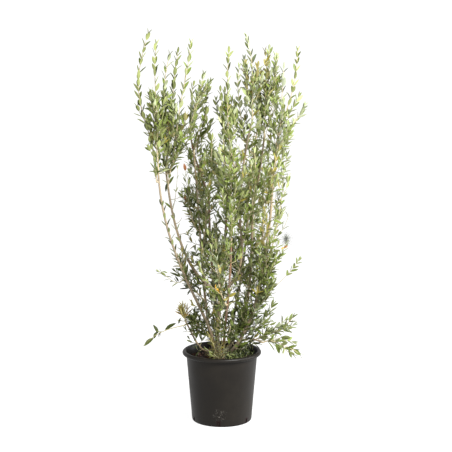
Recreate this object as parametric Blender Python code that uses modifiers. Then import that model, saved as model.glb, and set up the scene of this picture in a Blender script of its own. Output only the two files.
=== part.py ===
"""A potted phillyrea: a loose evergreen shrub of many upright stems in a round nursery pot.

Stems and boughs are tapering tubes on cubic curves. Every foliage mass grows from one stem by one
rule: a leader, side shoots turned round it by the golden angle, and opposite pairs of narrow
leaves, each pair at right angles to the pair below it.
"""

import math
import random
from collections import namedtuple

import bmesh
import bpy
import numpy as np
from mathutils import Matrix, Vector

# Sizes are in metres and +Z is up. The origin is the centre of the pot's underside.
GAP = 0.0003                     # clearance between one solid and the next

POT_HEIGHT = 0.270
POT_LIP_RADIUS = 0.150
POT_LIP_HEIGHT = 0.016
POT_TOP_RADIUS = 0.1365          # outside of the wall, just under the lip
POT_FOOT_RADIUS = 0.1135         # outside of the wall, at the foot
POT_WALL = 0.0025
POT_FLOOR = 0.0035
POT_EDGE = 0.0045                # rounding between the wall and the underside
POT_SIDES = 32
DRAIN_COUNT = 6
DRAIN_WIDTH = 0.010
DRAIN_BOTTOM = 0.0065
DRAIN_TOP = 0.020
DRAIN_TURN = math.radians(-96)   # heading of the first drain hole

SOIL_TOP = 0.245
SOIL_FLAT_RADIUS = 0.095         # the soil is level as far out as this
SOIL_EDGE_DROP = 0.006           # and sinks by this much towards the wall

LIMB_STEPS = 7                   # straight lengths in one stem or bough
FLARE_HEIGHT = 0.022             # a stem's foot widens below this height above the soil
FLARE = 1.55

LEADER_STEPS = 5
LEADER_HANDLE = 0.35             # share of a leader's chord that its last handle spans
SIDE_STEPS = 2
SIDE_START = 0.14                # share of the leader where the first side shoot may start
SIDE_SPAN = 0.56                 # and the share over which all of them start
SIDE_LEAST = 0.012               # the least that a side shoot spreads
SIDE_LEAF_ROOM = 0.022           # width of the mass that is left to the leaves beyond the shoot
SIDE_RISE = (1.5, 2.1)           # how far a side shoot climbs for what it spreads
SHOOT_FOOT = 0.0030              # section radius of a leader where it starts
SHOOT_TIP = 0.0013
SIDE_FOOT = 0.0021
SHOOT_STUB = 0.005               # straight start of a shoot, square to the limb it sits on
GOLDEN_ANGLE = math.radians(137.5)

MASS_BELLY = 0.42                # share of the leader at which its mass is widest
MASS_TAPER = 0.66                # share of the leader over which the mass slims
MASS_ENDS = 0.5                  # share of the full width at both ends of a mass
MASS_MARGIN = 0.012              # how far a leaf's tip may stand out of the width

LEAF_LENGTH = 0.046              # and a share of the width of its mass is added to it
LEAF_GAIN = 0.50
LAST_LEAF = 0.85                 # share of that length at the end of a shoot
LEAF_WIDTH = 0.33                # share of the leaf's length
LEAF_BODY = 0.42                 # share of the leaf's width that keeps its clearance
LEAF_SIZES = (0.85, 1.08)        # least and greatest share of that length
LEAF_THICKNESS = 0.0016
LEAF_SPACING = 0.105             # between one pair of leaves and the next
LEAF_BARE = 0.015                # a shoot has no leaves on this much of its foot
LEAF_BARE_SHARE = 0.10           # and on this share of its length
LEAF_SINK = 0.0008               # how far a leaf's root goes past the axis of its shoot
LEAF_OPENING = math.radians(40)  # from the shoot, low on it
LEAF_CLOSING = math.radians(14)  # how much less that is at the shoot's tip
LEAF_TRIES = (1.0, 0.7, 0.45)    # shares of the opening at which a leaf looks for room
CLEARANCE = 0.0012               # kept between foliage and anything of another node

# A limb is a cubic curve: it leaves its foot towards the bend and comes to its tip from the reach.
Stem = namedtuple("Stem", "name foot bend reach tip foot_radius tip_radius")
Bough = namedtuple("Bough", "name host at bend reach tip foot_radius tip_radius")
# A mass sits on the side of its host that faces the bow, or on its tip where the share is 1. Its
# leader bulges by the bow on the way to the top, and all of it stays within the width.
Mass = namedtuple("Mass", "name host at bow top width shoots")

STEMS = (
    Stem("stem_main", (-0.010, 0.000), (-0.030, 0.000, 0.330), (-0.005, 0.000, 0.420),
         (-0.005, 0.000, 0.515), 0.0090, 0.0072),
    Stem("stem_left_outer", (-0.024, -0.026), (-0.030, -0.040, 0.410), (-0.220, -0.050, 0.610),
         (-0.235, -0.030, 0.960), 0.0062, 0.0034),
    Stem("stem_left_low", (-0.045, -0.010), (-0.085, -0.015, 0.262), (-0.105, -0.025, 0.325),
         (-0.135, -0.030, 0.385), 0.0040, 0.0030),
    Stem("stem_mid_left", (-0.034, 0.024), (-0.075, 0.050, 0.440), (-0.080, 0.060, 0.740),
         (-0.105, 0.050, 1.015), 0.0058, 0.0030),
    Stem("stem_right", (0.018, 0.018), (0.075, 0.030, 0.335), (0.115, 0.050, 0.440),
         (0.115, 0.060, 0.730), 0.0075, 0.0048),
    Stem("stem_right_outer", (0.034, -0.018), (0.115, -0.030, 0.365), (0.150, -0.060, 0.510),
         (0.180, -0.060, 0.790), 0.0060, 0.0042),
    Stem("stem_low_right", (0.052, 0.008), (0.075, 0.000, 0.325), (0.110, -0.010, 0.320),
         (0.150, -0.020, 0.305), 0.0042, 0.0030),
    Stem("stem_back", (-0.012, 0.048), (-0.020, 0.080, 0.430), (-0.045, 0.150, 0.560),
         (-0.050, 0.165, 0.800), 0.0062, 0.0042),
    Stem("stem_back_right", (0.028, 0.050), (0.045, 0.080, 0.420), (0.090, 0.160, 0.520),
         (0.100, 0.170, 0.780), 0.0058, 0.0040),
    Stem("stem_front", (0.006, -0.040), (0.010, -0.070, 0.400), (0.030, -0.140, 0.480),
         (0.035, -0.140, 0.700), 0.0050, 0.0034),
)

BOUGHS = (
    Bough("bough_left", "stem_main", 0.93, (-0.120, 0.010, 0.550), (-0.185, 0.030, 0.695),
          (-0.210, 0.040, 0.955), 0.0060, 0.0036),
    Bough("bough_right", "stem_main", 0.96, (0.055, -0.010, 0.530), (0.090, -0.020, 0.605),
          (0.070, -0.030, 0.745), 0.0058, 0.0046),
    Bough("bough_right_top", "bough_right", 1.0, (0.065, -0.030, 0.835), (0.075, -0.030, 1.000),
          (0.110, -0.030, 1.130), 0.0046, 0.0032),
    Bough("bough_centre", "stem_main", 1.0, (0.000, 0.015, 0.640), (0.035, 0.030, 0.745),
          (0.010, 0.030, 1.020), 0.0062, 0.0032),
    Bough("bough_right_mid", "stem_right", 1.0, (0.115, 0.065, 0.830), (0.150, 0.070, 0.945),
          (0.160, 0.070, 1.075), 0.0048, 0.0032),
    Bough("bough_right_outer", "stem_right_outer", 1.0, (0.186, -0.058, 0.870),
          (0.190, -0.050, 0.955), (0.200, -0.040, 1.045), 0.0042, 0.0030),
    Bough("bough_back_left", "stem_back", 1.0, (-0.050, 0.170, 0.880), (-0.110, 0.160, 0.960),
          (-0.120, 0.150, 1.080), 0.0042, 0.0030),
    Bough("bough_back_right", "stem_back_right", 1.0, (0.102, 0.172, 0.860),
          (0.120, 0.170, 0.960), (0.130, 0.160, 1.060), 0.0040, 0.0030),
)

MASSES = (
    # the tall shoots, from left to right
    Mass("crown_left_spire", "stem_left_outer", 0.94, (-0.045, 0.01, 0.0), (-0.267, 0.0, 1.475), 0.03, 1),
    Mass("crown_left_tall", "stem_left_outer", 1.0, (-0.012, -0.01, 0.0), (-0.235, -0.05, 1.44), 0.05, 3),
    Mass("crown_left_main", "bough_left", 1.0, (-0.01, 0.0, 0.0), (-0.19, 0.03, 1.4), 0.052, 3),
    Mass("crown_left_inner", "bough_left", 0.86, (0.0, -0.015, 0.0), (-0.11, -0.02, 1.44), 0.052, 3),
    Mass("crown_left_rear", "bough_left", 0.93, (-0.005, 0.05, 0.0), (-0.165, 0.12, 1.415), 0.065, 2),
    Mass("crown_mid_left", "bough_left", 0.97, (0.015, -0.03, -0.02), (-0.06, -0.02, 1.325), 0.042, 2),
    Mass("crown_mid_tip", "stem_mid_left", 1.0, (0.01, -0.01, 0.0), (-0.05, 0.02, 1.2), 0.055, 3),
    Mass("crown_mid_rear", "bough_back_left", 1.0, (-0.01, 0.01, 0.0), (-0.035, 0.14, 1.3), 0.065, 3),
    Mass("crown_centre_left", "bough_centre", 1.0, (0.0, 0.0, 0.0), (0.012, 0.04, 1.265), 0.058, 3),
    Mass("crown_centre", "bough_right_top", 0.35, (-0.03, -0.02, 0.0), (0.03, -0.05, 1.41), 0.045, 2),
    Mass("crown_centre_rear", "bough_back_right", 0.8, (-0.03, 0.0, 0.0), (0.07, 0.15, 1.355), 0.065, 3),
    Mass("crown_top", "bough_right_top", 1.0, (0.018, -0.01, 0.0), (0.088, -0.06, 1.46), 0.055, 3),
    Mass("crown_right_main", "bough_right_mid", 1.0, (0.0, 0.0, 0.0), (0.18, 0.05, 1.42), 0.06, 3),
    Mass("crown_right_rear", "bough_back_right", 1.0, (0.02, 0.01, 0.0), (0.215, 0.15, 1.39), 0.07, 2),
    Mass("crown_right_front", "bough_right_outer", 0.8, (0.005, -0.04, 0.0), (0.225, -0.11, 1.355),
         0.055, 3),
    Mass("crown_right_tall", "bough_right_outer", 1.0, (0.025, 0.0, 0.0), (0.28, -0.03, 1.415), 0.045, 2),
    Mass("crown_right_side", "bough_right_outer", 0.9, (0.02, 0.02, -0.02), (0.308, 0.02, 1.215), 0.03, 1),
    # the middle of the shrub
    Mass("mid_left", "stem_mid_left", 0.62, (-0.02, 0.0, 0.0), (-0.118, 0.01, 0.94), 0.044, 2),
    Mass("mid_left_front", "stem_mid_left", 0.5, (0.01, -0.05, 0.0), (-0.032, -0.09, 1.1), 0.07, 3),
    Mass("mid_front", "stem_front", 1.0, (0.0, -0.02, 0.0), (0.03, -0.15, 1.08), 0.085, 4),
    Mass("mid_front_right", "bough_right", 0.8, (0.02, -0.05, 0.0), (0.12, -0.12, 1.05), 0.07, 3),
    Mass("mid_right", "stem_right_outer", 0.78, (0.01, -0.04, 0.0), (0.21, -0.11, 1.06), 0.055, 2),
    Mass("mid_right_side", "stem_right_outer", 0.62, (0.01, 0.01, 0.0), (0.238, 0.0, 0.985), 0.036, 2),
    Mass("mid_back_left", "stem_back", 0.8, (-0.03, 0.035, 0.0), (-0.075, 0.19, 1.08), 0.075, 3),
    Mass("mid_back_right", "stem_back_right", 0.8, (0.015, 0.045, 0.0), (0.14, 0.21, 1.05), 0.08, 2),
    # the lower shrub
    Mass("low_left", "stem_mid_left", 0.28, (-0.025, -0.02, -0.02), (-0.15, -0.005, 0.67), 0.045, 2),
    Mass("low_left_sprig", "stem_left_outer", 0.44, (-0.03, 0.0, -0.01), (-0.23, -0.035, 0.6), 0.02, 0),
    Mass("low_front", "stem_front", 0.5, (-0.02, -0.03, 0.0), (-0.02, -0.13, 0.76), 0.075, 3),
    Mass("low_right", "stem_right_outer", 0.38, (0.02, -0.01, 0.0), (0.165, -0.06, 0.7), 0.05, 3),
    Mass("low_right_arch", "stem_right_outer", 0.46, (0.02, 0.02, -0.02), (0.3, 0.0, 0.635), 0.03, 0),
    Mass("low_centre", "stem_right", 0.55, (-0.03, -0.02, 0.0), (0.05, -0.01, 0.72), 0.055, 2),
    Mass("low_back", "stem_back", 0.4, (0.0, 0.04, 0.0), (-0.02, 0.2, 0.72), 0.08, 2),
    Mass("low_back_right", "stem_right", 0.5, (0.025, 0.04, 0.0), (0.15, 0.12, 0.76), 0.07, 2),
    # about the pot
    Mass("foot_inner_left", "stem_mid_left", 0.1, (-0.03, -0.03, 0.0), (-0.085, -0.045, 0.445), 0.04, 2),
    Mass("foot_inner_right", "stem_right", 0.16, (0.02, -0.03, 0.0), (0.085, -0.035, 0.5), 0.05, 2),
    Mass("foot_front", "stem_front", 0.2, (0.01, -0.02, 0.0), (0.03, -0.09, 0.41), 0.045, 2),
    Mass("foot_left", "stem_left_low", 1.0, (0.0, 0.0, 0.0), (-0.15, -0.03, 0.46), 0.035, 2),
    Mass("foot_left_trail", "stem_left_low", 0.95, (-0.01, -0.025, 0.025), (-0.3, -0.04, 0.29), 0.035, 0),
    Mass("foot_right", "stem_low_right", 0.8, (0.02, 0.02, -0.02), (0.28, 0.02, 0.41), 0.045, 3),
    Mass("foot_right_trail", "stem_low_right", 1.0, (0.0, 0.0, 0.03), (0.305, -0.05, 0.255), 0.045, 2),
)


# ---------------------------------------------------------------- scene and materials

def clear_scene():
    """Remove every object and mesh that the file opened with."""
    for item in list(bpy.data.objects):
        bpy.data.objects.remove(item, do_unlink=True)
    for mesh in list(bpy.data.meshes):
        bpy.data.meshes.remove(mesh)


def new_collection(name):
    """A new collection under the scene's own."""
    collection = bpy.data.collections.new(name)
    bpy.context.scene.collection.children.link(collection)
    return collection


def new_material(name, colour, roughness):
    """A plain Principled material."""
    material = bpy.data.materials.new(name)
    material.use_nodes = True
    shader = material.node_tree.nodes["Principled BSDF"]
    shader.inputs["Base Color"].default_value = (*colour, 1.0)
    shader.inputs["Roughness"].default_value = roughness
    shader.inputs["Metallic"].default_value = 0.0
    return material


def add_object(name, data, collection, material=None):
    """An object of this mesh or curve, linked to the collection."""
    item = bpy.data.objects.new(name, data)
    collection.objects.link(item)
    if material:
        data.materials.append(material)
    return item


# ---------------------------------------------------------------- pot and soil

def turned(name, profile, collection, material):
    """A turned solid: the profile runs from the axis, round the section and back to the axis."""
    mesh = bpy.data.meshes.new(name)
    mesh.from_pydata([(radius, 0.0, z) for radius, z in profile],
                     [(i, i + 1) for i in range(len(profile) - 1)], [])
    item = add_object(name, mesh, collection, material)
    screw = item.modifiers.new("turn", "SCREW")
    screw.steps = screw.render_steps = POT_SIDES
    screw.use_merge_vertices = True
    screw.merge_threshold = 0.00001
    screw.use_smooth_shade = True
    return item


def arc(centre, radius, start, end, steps):
    """Points of a circular arc in the profile's plane, angles in degrees."""
    angles = [math.radians(start + (end - start) * i / steps) for i in range(steps + 1)]
    return [(centre[0] + radius * math.cos(a), centre[1] + radius * math.sin(a)) for a in angles]


def wall_radius(z):
    """The outside of the pot's tapering wall at height z."""
    return POT_FOOT_RADIUS + (POT_TOP_RADIUS - POT_FOOT_RADIUS) * z / POT_HEIGHT


def pot_profile():
    """Up the inside, over the rolled lip, down the outside and under the floor."""
    lip_radius = POT_LIP_HEIGHT / 2
    lip_centre = (POT_LIP_RADIUS - lip_radius, POT_HEIGHT - lip_radius)
    under_lip = POT_HEIGHT - POT_LIP_HEIGHT
    inside = [(0.0, POT_FLOOR), (wall_radius(POT_FLOOR) - POT_WALL, POT_FLOOR),
              (wall_radius(under_lip) - POT_WALL, under_lip)]
    lip = arc(lip_centre, lip_radius, 125, -90, 8)
    outside = [(wall_radius(under_lip), under_lip - 0.0005)]
    edge = arc((wall_radius(POT_EDGE) - POT_EDGE, POT_EDGE), POT_EDGE, 0, -90, 3)
    return inside + lip + outside + edge + [(0.0, 0.0)]


def make_pot(parts, cutters, material):
    """The pot with its ring of drain holes just above the floor."""
    pot = turned("pot", pot_profile(), parts, material)
    height = DRAIN_TOP - DRAIN_BOTTOM
    for i in range(DRAIN_COUNT):
        heading = DRAIN_TURN + math.tau * i / DRAIN_COUNT
        mesh = bpy.data.meshes.new("drain")
        box = bmesh.new()
        bmesh.ops.create_cube(box, size=1.0, matrix=Matrix.Diagonal((0.012, DRAIN_WIDTH, height, 1)))
        box.to_mesh(mesh)
        box.free()
        cutter = add_object(f"drain_cutter_{i + 1}", mesh, cutters)
        cutter.location = (POT_FOOT_RADIUS * math.cos(heading), POT_FOOT_RADIUS * math.sin(heading),
                           DRAIN_BOTTOM + height / 2)
        cutter.rotation_euler.z = heading
        cutter.hide_render = True
        cutter.display_type = "WIRE"
        cut = pot.modifiers.new(f"drain_{i + 1}", "BOOLEAN")
        cut.operation = "DIFFERENCE"
        cut.object = cutter
    return pot


def make_soil(parts, material):
    """The compost that fills the pot to below its lip."""
    bottom = POT_FLOOR + GAP
    edge = SOIL_TOP - SOIL_EDGE_DROP
    profile = [(0.0, SOIL_TOP), (SOIL_FLAT_RADIUS, SOIL_TOP),
               (wall_radius(edge) - POT_WALL - GAP, edge),
               (wall_radius(bottom) - POT_WALL - GAP, bottom), (0.0, bottom)]
    return turned("soil", profile, parts, material)


# ---------------------------------------------------------------- curves and clearances

def cubic(start, bend, reach, end, steps):
    """Points of a cubic curve from start to end, with its two handles."""
    points = []
    for i in range(steps + 1):
        t = i / steps
        s = 1 - t
        points.append(s ** 3 * start + 3 * s * s * t * bend + 3 * s * t * t * reach + t ** 3 * end)
    return points


def along(points, share):
    """The place and direction at a share of a line's length."""
    lengths = [(b - a).length for a, b in zip(points, points[1:])]
    left = share * sum(lengths)
    for (a, b), length in zip(zip(points, points[1:]), lengths):
        if left <= length:
            break
        left -= length
    return a.lerp(b, min(1.0, left / length)), (b - a).normalized()


def radius_along(points, radii, share):
    """The radius at a share of a line's length."""
    places = np.cumsum([0.0] + [(b - a).length for a, b in zip(points, points[1:])])
    return float(np.interp(share * places[-1], places, radii))


def taper(points, foot, tip):
    """A radius for each point, from the foot's to the tip's."""
    last = len(points) - 1
    return [foot + (tip - foot) * i / last for i in range(last + 1)]


def seat(points, radii, share, towards):
    """Where something sits clear of a limb, at its tip or on the side that faces a point."""
    if share >= 1.0:
        direction = (points[-1] - points[-2]).normalized()
        return points[-1] + direction * GAP, direction
    place, direction = along(points, share)
    side = towards - place
    side = (side - direction * side.dot(direction)).normalized()
    return place + side * (radius_along(points, radii, share) + GAP), side


class Rods:
    """The straight lengths of every limb, shoot and leaf, for keeping nodes clear of each other."""

    def __init__(self):
        self.starts, self.ends, self.radii, self.owners = [], [], [], []

    def add(self, owner, start, end, radius):
        """Note one straight length."""
        self.starts.append(start[:])
        self.ends.append(end[:])
        self.radii.append(radius)
        self.owners.append(owner)

    def add_line(self, owner, points, radii):
        """Note every length of a line."""
        for a, b, radius in zip(points, points[1:], radii):
            self.add(owner, a, b, radius)

    def is_clear(self, owner, start, end, radius):
        """Whether a length keeps its clearance from all that belongs to other nodes.

        The nearest points of two segments come from the closest points of their two lines,
        each held to its own segment in turn.
        """
        others = np.array([name != owner for name in self.owners])
        p = np.array(self.starts)[others]
        along_other = np.array(self.ends)[others] - p
        reach = np.array(self.radii)[others] + radius + CLEARANCE
        own = np.array(end) - np.array(start)
        offset = np.array(start) - p
        a, b = own @ own, along_other @ own
        e = np.maximum((along_other ** 2).sum(1), 1e-12)
        c, f = offset @ own, (along_other * offset).sum(1)
        spread = a * e - b * b
        s = np.clip(np.where(spread > 1e-12, (b * f - c * e) / np.maximum(spread, 1e-12), 0.0), 0, 1)
        t = np.clip((b * s + f) / e, 0, 1)
        s = np.clip((b * t - c) / a, 0, 1)
        nearest = offset + s[:, None] * own - t[:, None] * along_other
        return bool(((nearest ** 2).sum(1) > reach ** 2).all())

    def line_is_clear(self, owner, points, radii):
        """Whether every length of a line is clear."""
        lengths = zip(points, points[1:], radii)
        return all(self.is_clear(owner, a, b, radius) for a, b, radius in lengths)


# ---------------------------------------------------------------- tubes

def tube_curve(name, points, radii, section):
    """A curve through the points that carries a section scaled by the radii, with closed ends."""
    curve = bpy.data.curves.new(name, "CURVE")
    curve.dimensions = "3D"
    curve.use_fill_caps = True
    if section:
        curve.bevel_mode = "OBJECT"
        curve.bevel_object = section
    else:
        curve.bevel_depth = 1.0
        curve.bevel_resolution = 2
    spline = curve.splines.new("POLY")
    spline.points.add(len(points) - 1)
    for knot, point, radius in zip(spline.points, points, radii):
        knot.co = (*point, 1.0)
        knot.radius = radius
    return curve


def tube_mesh(name, points, radii, collection, section=None):
    """A tube made a mesh, with its caps welded on."""
    curve = tube_curve(name, points, radii, section)
    guide = add_object(name, curve, collection)
    graph = bpy.context.evaluated_depsgraph_get()
    mesh = bpy.data.meshes.new_from_object(guide.evaluated_get(graph), depsgraph=graph)
    bpy.data.objects.remove(guide)
    bpy.data.curves.remove(curve)
    work = bmesh.new()
    work.from_mesh(mesh)
    bmesh.ops.remove_doubles(work, verts=work.verts, dist=0.00001)
    bmesh.ops.recalc_face_normals(work, faces=work.faces)
    work.to_mesh(mesh)
    work.free()
    return add_object(name, mesh, collection)


def twig_section(cutters):
    """The three-sided section that twigs are drawn with."""
    curve = bpy.data.curves.new("twig_section", "CURVE")
    curve.dimensions = "2D"
    curve.fill_mode = "NONE"
    spline = curve.splines.new("POLY")
    spline.points.add(2)
    for i, knot in enumerate(spline.points):
        angle = math.tau * i / 3
        knot.co = (math.cos(angle), math.sin(angle), 0.0, 1.0)
    spline.use_cyclic_u = True
    guide = add_object("twig_section", curve, cutters)
    guide.hide_render = True
    guide.display_type = "WIRE"
    return guide


# ---------------------------------------------------------------- limbs

def flared(points, radii):
    """The radii of a stem whose foot widens towards the soil."""
    widened = []
    for point, radius in zip(points, radii):
        share = max(0.0, 1 - (point.z - SOIL_TOP) / FLARE_HEIGHT)
        widened.append(radius * (1 + (FLARE - 1) * share * share))
    return widened


def stem_line(stem):
    """A stem's line from its level foot to its tip, with extra points in the flare."""
    foot = Vector((*stem.foot, SOIL_TOP + GAP))
    level = foot + Vector((0, 0, FLARE_HEIGHT))
    points = cubic(level, Vector(stem.bend), Vector(stem.reach), Vector(stem.tip), LIMB_STEPS)
    points = [foot, foot.lerp(level, 0.3), foot.lerp(level, 0.65)] + points
    return points, flared(points, taper(points, stem.foot_radius, stem.tip_radius))


def bough_line(bough, lines):
    """A bough's line from its seat on its host to its tip."""
    start, direction = seat(*lines[bough.host], bough.at, Vector(bough.bend))
    stub = start + direction * bough.foot_radius * 1.2
    points = cubic(stub, Vector(bough.bend), Vector(bough.reach), Vector(bough.tip), LIMB_STEPS)
    points = [start] + points
    return points, taper(points, bough.foot_radius, bough.tip_radius)


def limb_lines():
    """The line and radii of every limb, by name."""
    lines = {stem.name: stem_line(stem) for stem in STEMS}
    for bough in BOUGHS:
        lines[bough.name] = bough_line(bough, lines)
    return lines


# ---------------------------------------------------------------- foliage

def leaf_length(mass):
    """The length of a mass's leaves: the broader the mass, the more each of them stands for."""
    return LEAF_LENGTH + LEAF_GAIN * mass.width


def leader_line(mass, lines):
    """A mass's leader: square off its host, then up to where its last leaf reaches the top."""
    top, bow = Vector(mass.top), Vector(mass.bow)
    points, radii = lines[mass.host]
    start, side = seat(points, radii, mass.at, along(points, min(mass.at, 1.0))[0] + bow)
    stub = start + side * SHOOT_STUB
    arrival = ((top - stub) * LEADER_HANDLE - bow).normalized()
    end = top - arrival * leaf_length(mass) * LAST_LEAF
    chord = end - stub
    bend = stub + side * chord.length * 0.10 + chord * 0.15
    line = [start] + cubic(stub, bend, end - chord * LEADER_HANDLE + bow, end, LEADER_STEPS)
    return line, taper(line, SHOOT_FOOT, SHOOT_TIP)


def half_width(mass, share):
    """How wide a mass may be at a share of its leader: a spindle, fullest below its middle."""
    slimming = ((share - MASS_BELLY) / MASS_TAPER) ** 2
    return mass.width * max(MASS_ENDS, math.sqrt(max(0.0, 1 - slimming)))


def side_lines(mass, leader, rng):
    """Side shoots, turned by the golden angle from one to the next, that curve up at their tips."""
    turn = rng.uniform(0, math.tau)
    for i in range(mass.shoots):
        share = SIDE_START + SIDE_SPAN * (i + rng.uniform(0.2, 0.8)) / mass.shoots
        start, up = along(leader, share)
        across = up.orthogonal().normalized()
        out = Matrix.Rotation(turn + i * GOLDEN_ANGLE, 3, up) @ across
        room = half_width(mass, share + 0.2) - SIDE_LEAF_ROOM
        spread = max(SIDE_LEAST, room) * rng.uniform(0.75, 1.0)
        rise = spread * rng.uniform(*SIDE_RISE) + 0.02
        end = start + out * spread + up * rise
        bend = start + out * spread * 0.6 + up * rise * 0.3
        yield cubic(start, bend, end - up * rise * 0.35, end, SIDE_STEPS)


def leaf_places(points, first, rng):
    """Root, shoot direction, outward direction and share of each leaf, in opposite pairs."""
    length = sum((b - a).length for a, b in zip(points, points[1:]))
    turn = rng.uniform(0, math.pi)
    count = max(1, round((length - first) / LEAF_SPACING))
    for i in range(count):
        share = (first + (length - first) * (i + 0.35) / count) / length
        root, up = along(points, share)
        turn += math.pi / 2 + rng.uniform(-0.25, 0.25)
        for side in (0, 1):
            out = Matrix.Rotation(turn + side * math.pi, 3, up) @ up.orthogonal().normalized()
            yield root, up, out, share


def in_space(mass, leader, point):
    """Whether a point is within the mass's width of its leader."""
    last = len(leader) - 1
    distance, share = min(((point - knot).length, i / last) for i, knot in enumerate(leader))
    return distance < half_width(mass, share) + MASS_MARGIN


def leaf_object(root, direction, facing, length, collection):
    """A leaf: a flat eight-faced spindle whose root is sunk into its shoot."""
    across = direction.cross(facing).normalized()
    normal = direction.cross(across)
    start = root - direction * LEAF_SINK
    turn = Matrix((across, normal, direction)).transposed().to_4x4()
    size = Matrix.Diagonal((length * LEAF_WIDTH / 2, LEAF_THICKNESS / 2, length / 2, 1))
    mesh = bpy.data.meshes.new("leaf")
    work = bmesh.new()
    bmesh.ops.create_uvsphere(work, u_segments=4, v_segments=2, radius=1.0,
                              matrix=Matrix.Translation(start + direction * length / 2) @ turn @ size)
    work.to_mesh(mesh)
    work.free()
    return add_object("leaf", mesh, collection)


def add_leaves(mass, leader, points, rods, collection, rng):
    """The leaves of one shoot: each opens as far as it finds room, or is left out."""
    size = leaf_length(mass)
    bare = LEAF_BARE_SHARE * (points[-1] - points[0]).length + LEAF_BARE
    for root, up, out, share in leaf_places(points, bare, rng):
        length = size * rng.uniform(*LEAF_SIZES)
        radius = length * LEAF_WIDTH * LEAF_BODY
        opening = LEAF_OPENING - LEAF_CLOSING * share + rng.uniform(-0.12, 0.12)
        for tried in LEAF_TRIES:
            direction = up * math.cos(opening * tried) + out * math.sin(opening * tried)
            near, far = root + direction * length * 0.2, root + direction * length
            if in_space(mass, leader, far) and rods.is_clear(mass.name, near, far, radius):
                rods.add(mass.name, near, far, radius)
                leaf_object(root, direction, up, length, collection)
                break
    up = (points[-1] - points[-2]).normalized()
    root, tip = points[-1], points[-1] + up * size * LAST_LEAF
    radius = size * LAST_LEAF * LEAF_WIDTH * LEAF_BODY
    if rods.is_clear(mass.name, root, tip, radius):
        rods.add(mass.name, root, tip, radius)
        leaf_object(root, up, up.orthogonal(), size * LAST_LEAF + LEAF_SINK, collection)


def largest_body(mesh):
    """Keep a mesh's largest closed body: sealed hollows are filled and loose scraps dropped."""
    work = bmesh.new()
    work.from_mesh(mesh)
    bmesh.ops.remove_doubles(work, verts=work.verts, dist=0.000002)
    left = set(work.faces)
    bodies = []
    while left:
        body, front = set(), [left.pop()]
        while front:
            face = front.pop()
            body.add(face)
            for edge in face.edges:
                for other in edge.link_faces:
                    if other in left:
                        left.remove(other)
                        front.append(other)
        bodies.append(body)
    keep = max(bodies, key=len)
    scraps = [face for body in bodies if body is not keep for face in body]
    bmesh.ops.delete(work, geom=scraps, context="FACES")
    work.to_mesh(mesh)
    work.free()


def join(name, first, others, parts, material):
    """One Boolean union of the first object and a collection of others."""
    union = first.modifiers.new("join", "BOOLEAN")
    union.operation = "UNION"
    union.solver = "MANIFOLD"
    union.operand_type = "COLLECTION"
    union.collection = others
    graph = bpy.context.evaluated_depsgraph_get()
    mesh = bpy.data.meshes.new_from_object(first.evaluated_get(graph), depsgraph=graph)
    mesh.name = name
    for item in list(others.objects) + [first]:
        bpy.data.objects.remove(item)
    largest_body(mesh)
    mesh.materials.clear()
    return add_object(name, mesh, parts, material)


def grow_masses(lines, parts, section, material):
    """Every foliage mass: first all the shoots find their room, and then the leaves theirs."""
    rods = Rods()
    for name, (points, radii) in lines.items():
        rods.add_line(name, points, radii)
    leaders = {mass.name: leader_line(mass, lines) for mass in MASSES}
    for name, (points, radii) in leaders.items():
        rods.add_line(name, points, radii)

    shoots = {}
    for seed, mass in enumerate(MASSES):
        rng = random.Random(seed + 1)
        leader = leaders[mass.name][0]
        shoots[mass.name] = [leaders[mass.name]]
        for points in side_lines(mass, leader, rng):
            radii = taper(points, SIDE_FOOT, SHOOT_TIP)
            if rods.line_is_clear(mass.name, points, radii):
                rods.add_line(mass.name, points, radii)
                shoots[mass.name].append((points, radii))

    scraps = new_collection("joining")
    for seed, mass in enumerate(MASSES):
        rng = random.Random(1000 + seed)
        first = None
        for index, (points, radii) in enumerate(shoots[mass.name]):
            twig = tube_mesh("twig", points, radii, parts if index == 0 else scraps, section)
            first = first or twig
            add_leaves(mass, shoots[mass.name][0][0], points, rods, scraps, rng)
        join(f"foliage_{mass.name}", first, scraps, parts, material)
    bpy.data.collections.remove(scraps)


# ---------------------------------------------------------------- the plant

def main():
    """Build the pot, its soil, the limbs and the foliage."""
    clear_scene()
    parts = new_collection("potted_phillyrea")
    cutters = new_collection("cutters")
    plastic = new_material("pot_plastic", (0.030, 0.028, 0.026), 0.55)
    compost = new_material("compost", (0.035, 0.022, 0.014), 0.95)
    bark = new_material("bark", (0.28, 0.20, 0.13), 0.85)
    leaf = new_material("leaf", (0.16, 0.24, 0.06), 0.50)

    make_pot(parts, cutters, plastic)
    make_soil(parts, compost)
    lines = limb_lines()
    for name, (points, radii) in lines.items():
        limb = tube_mesh(name, points, radii, parts)
        limb.data.materials.append(bark)
        limb.data.shade_smooth()
        limb.data.set_sharp_from_angle(angle=math.radians(50))
    grow_masses(lines, parts, twig_section(cutters), leaf)


main()
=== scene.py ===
"""The looks of a potted phillyrea: bark, twigs, narrow paired leaves, compost and a moulded nursery pot.

Every limb follows the same cubic curve as its solid, and every foliage mass grows by the same rule as
its solid: a leader, side shoots turned round it by the golden angle, and opposite pairs of leaves, each
pair square to the pair below it. Here the rule goes on to finer twigs and to leaves of their real size.
Sizes are in metres.
"""

import logging
import math
from dataclasses import dataclass, field
from enum import Enum
from typing import Any, Iterable, Sequence

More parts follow.
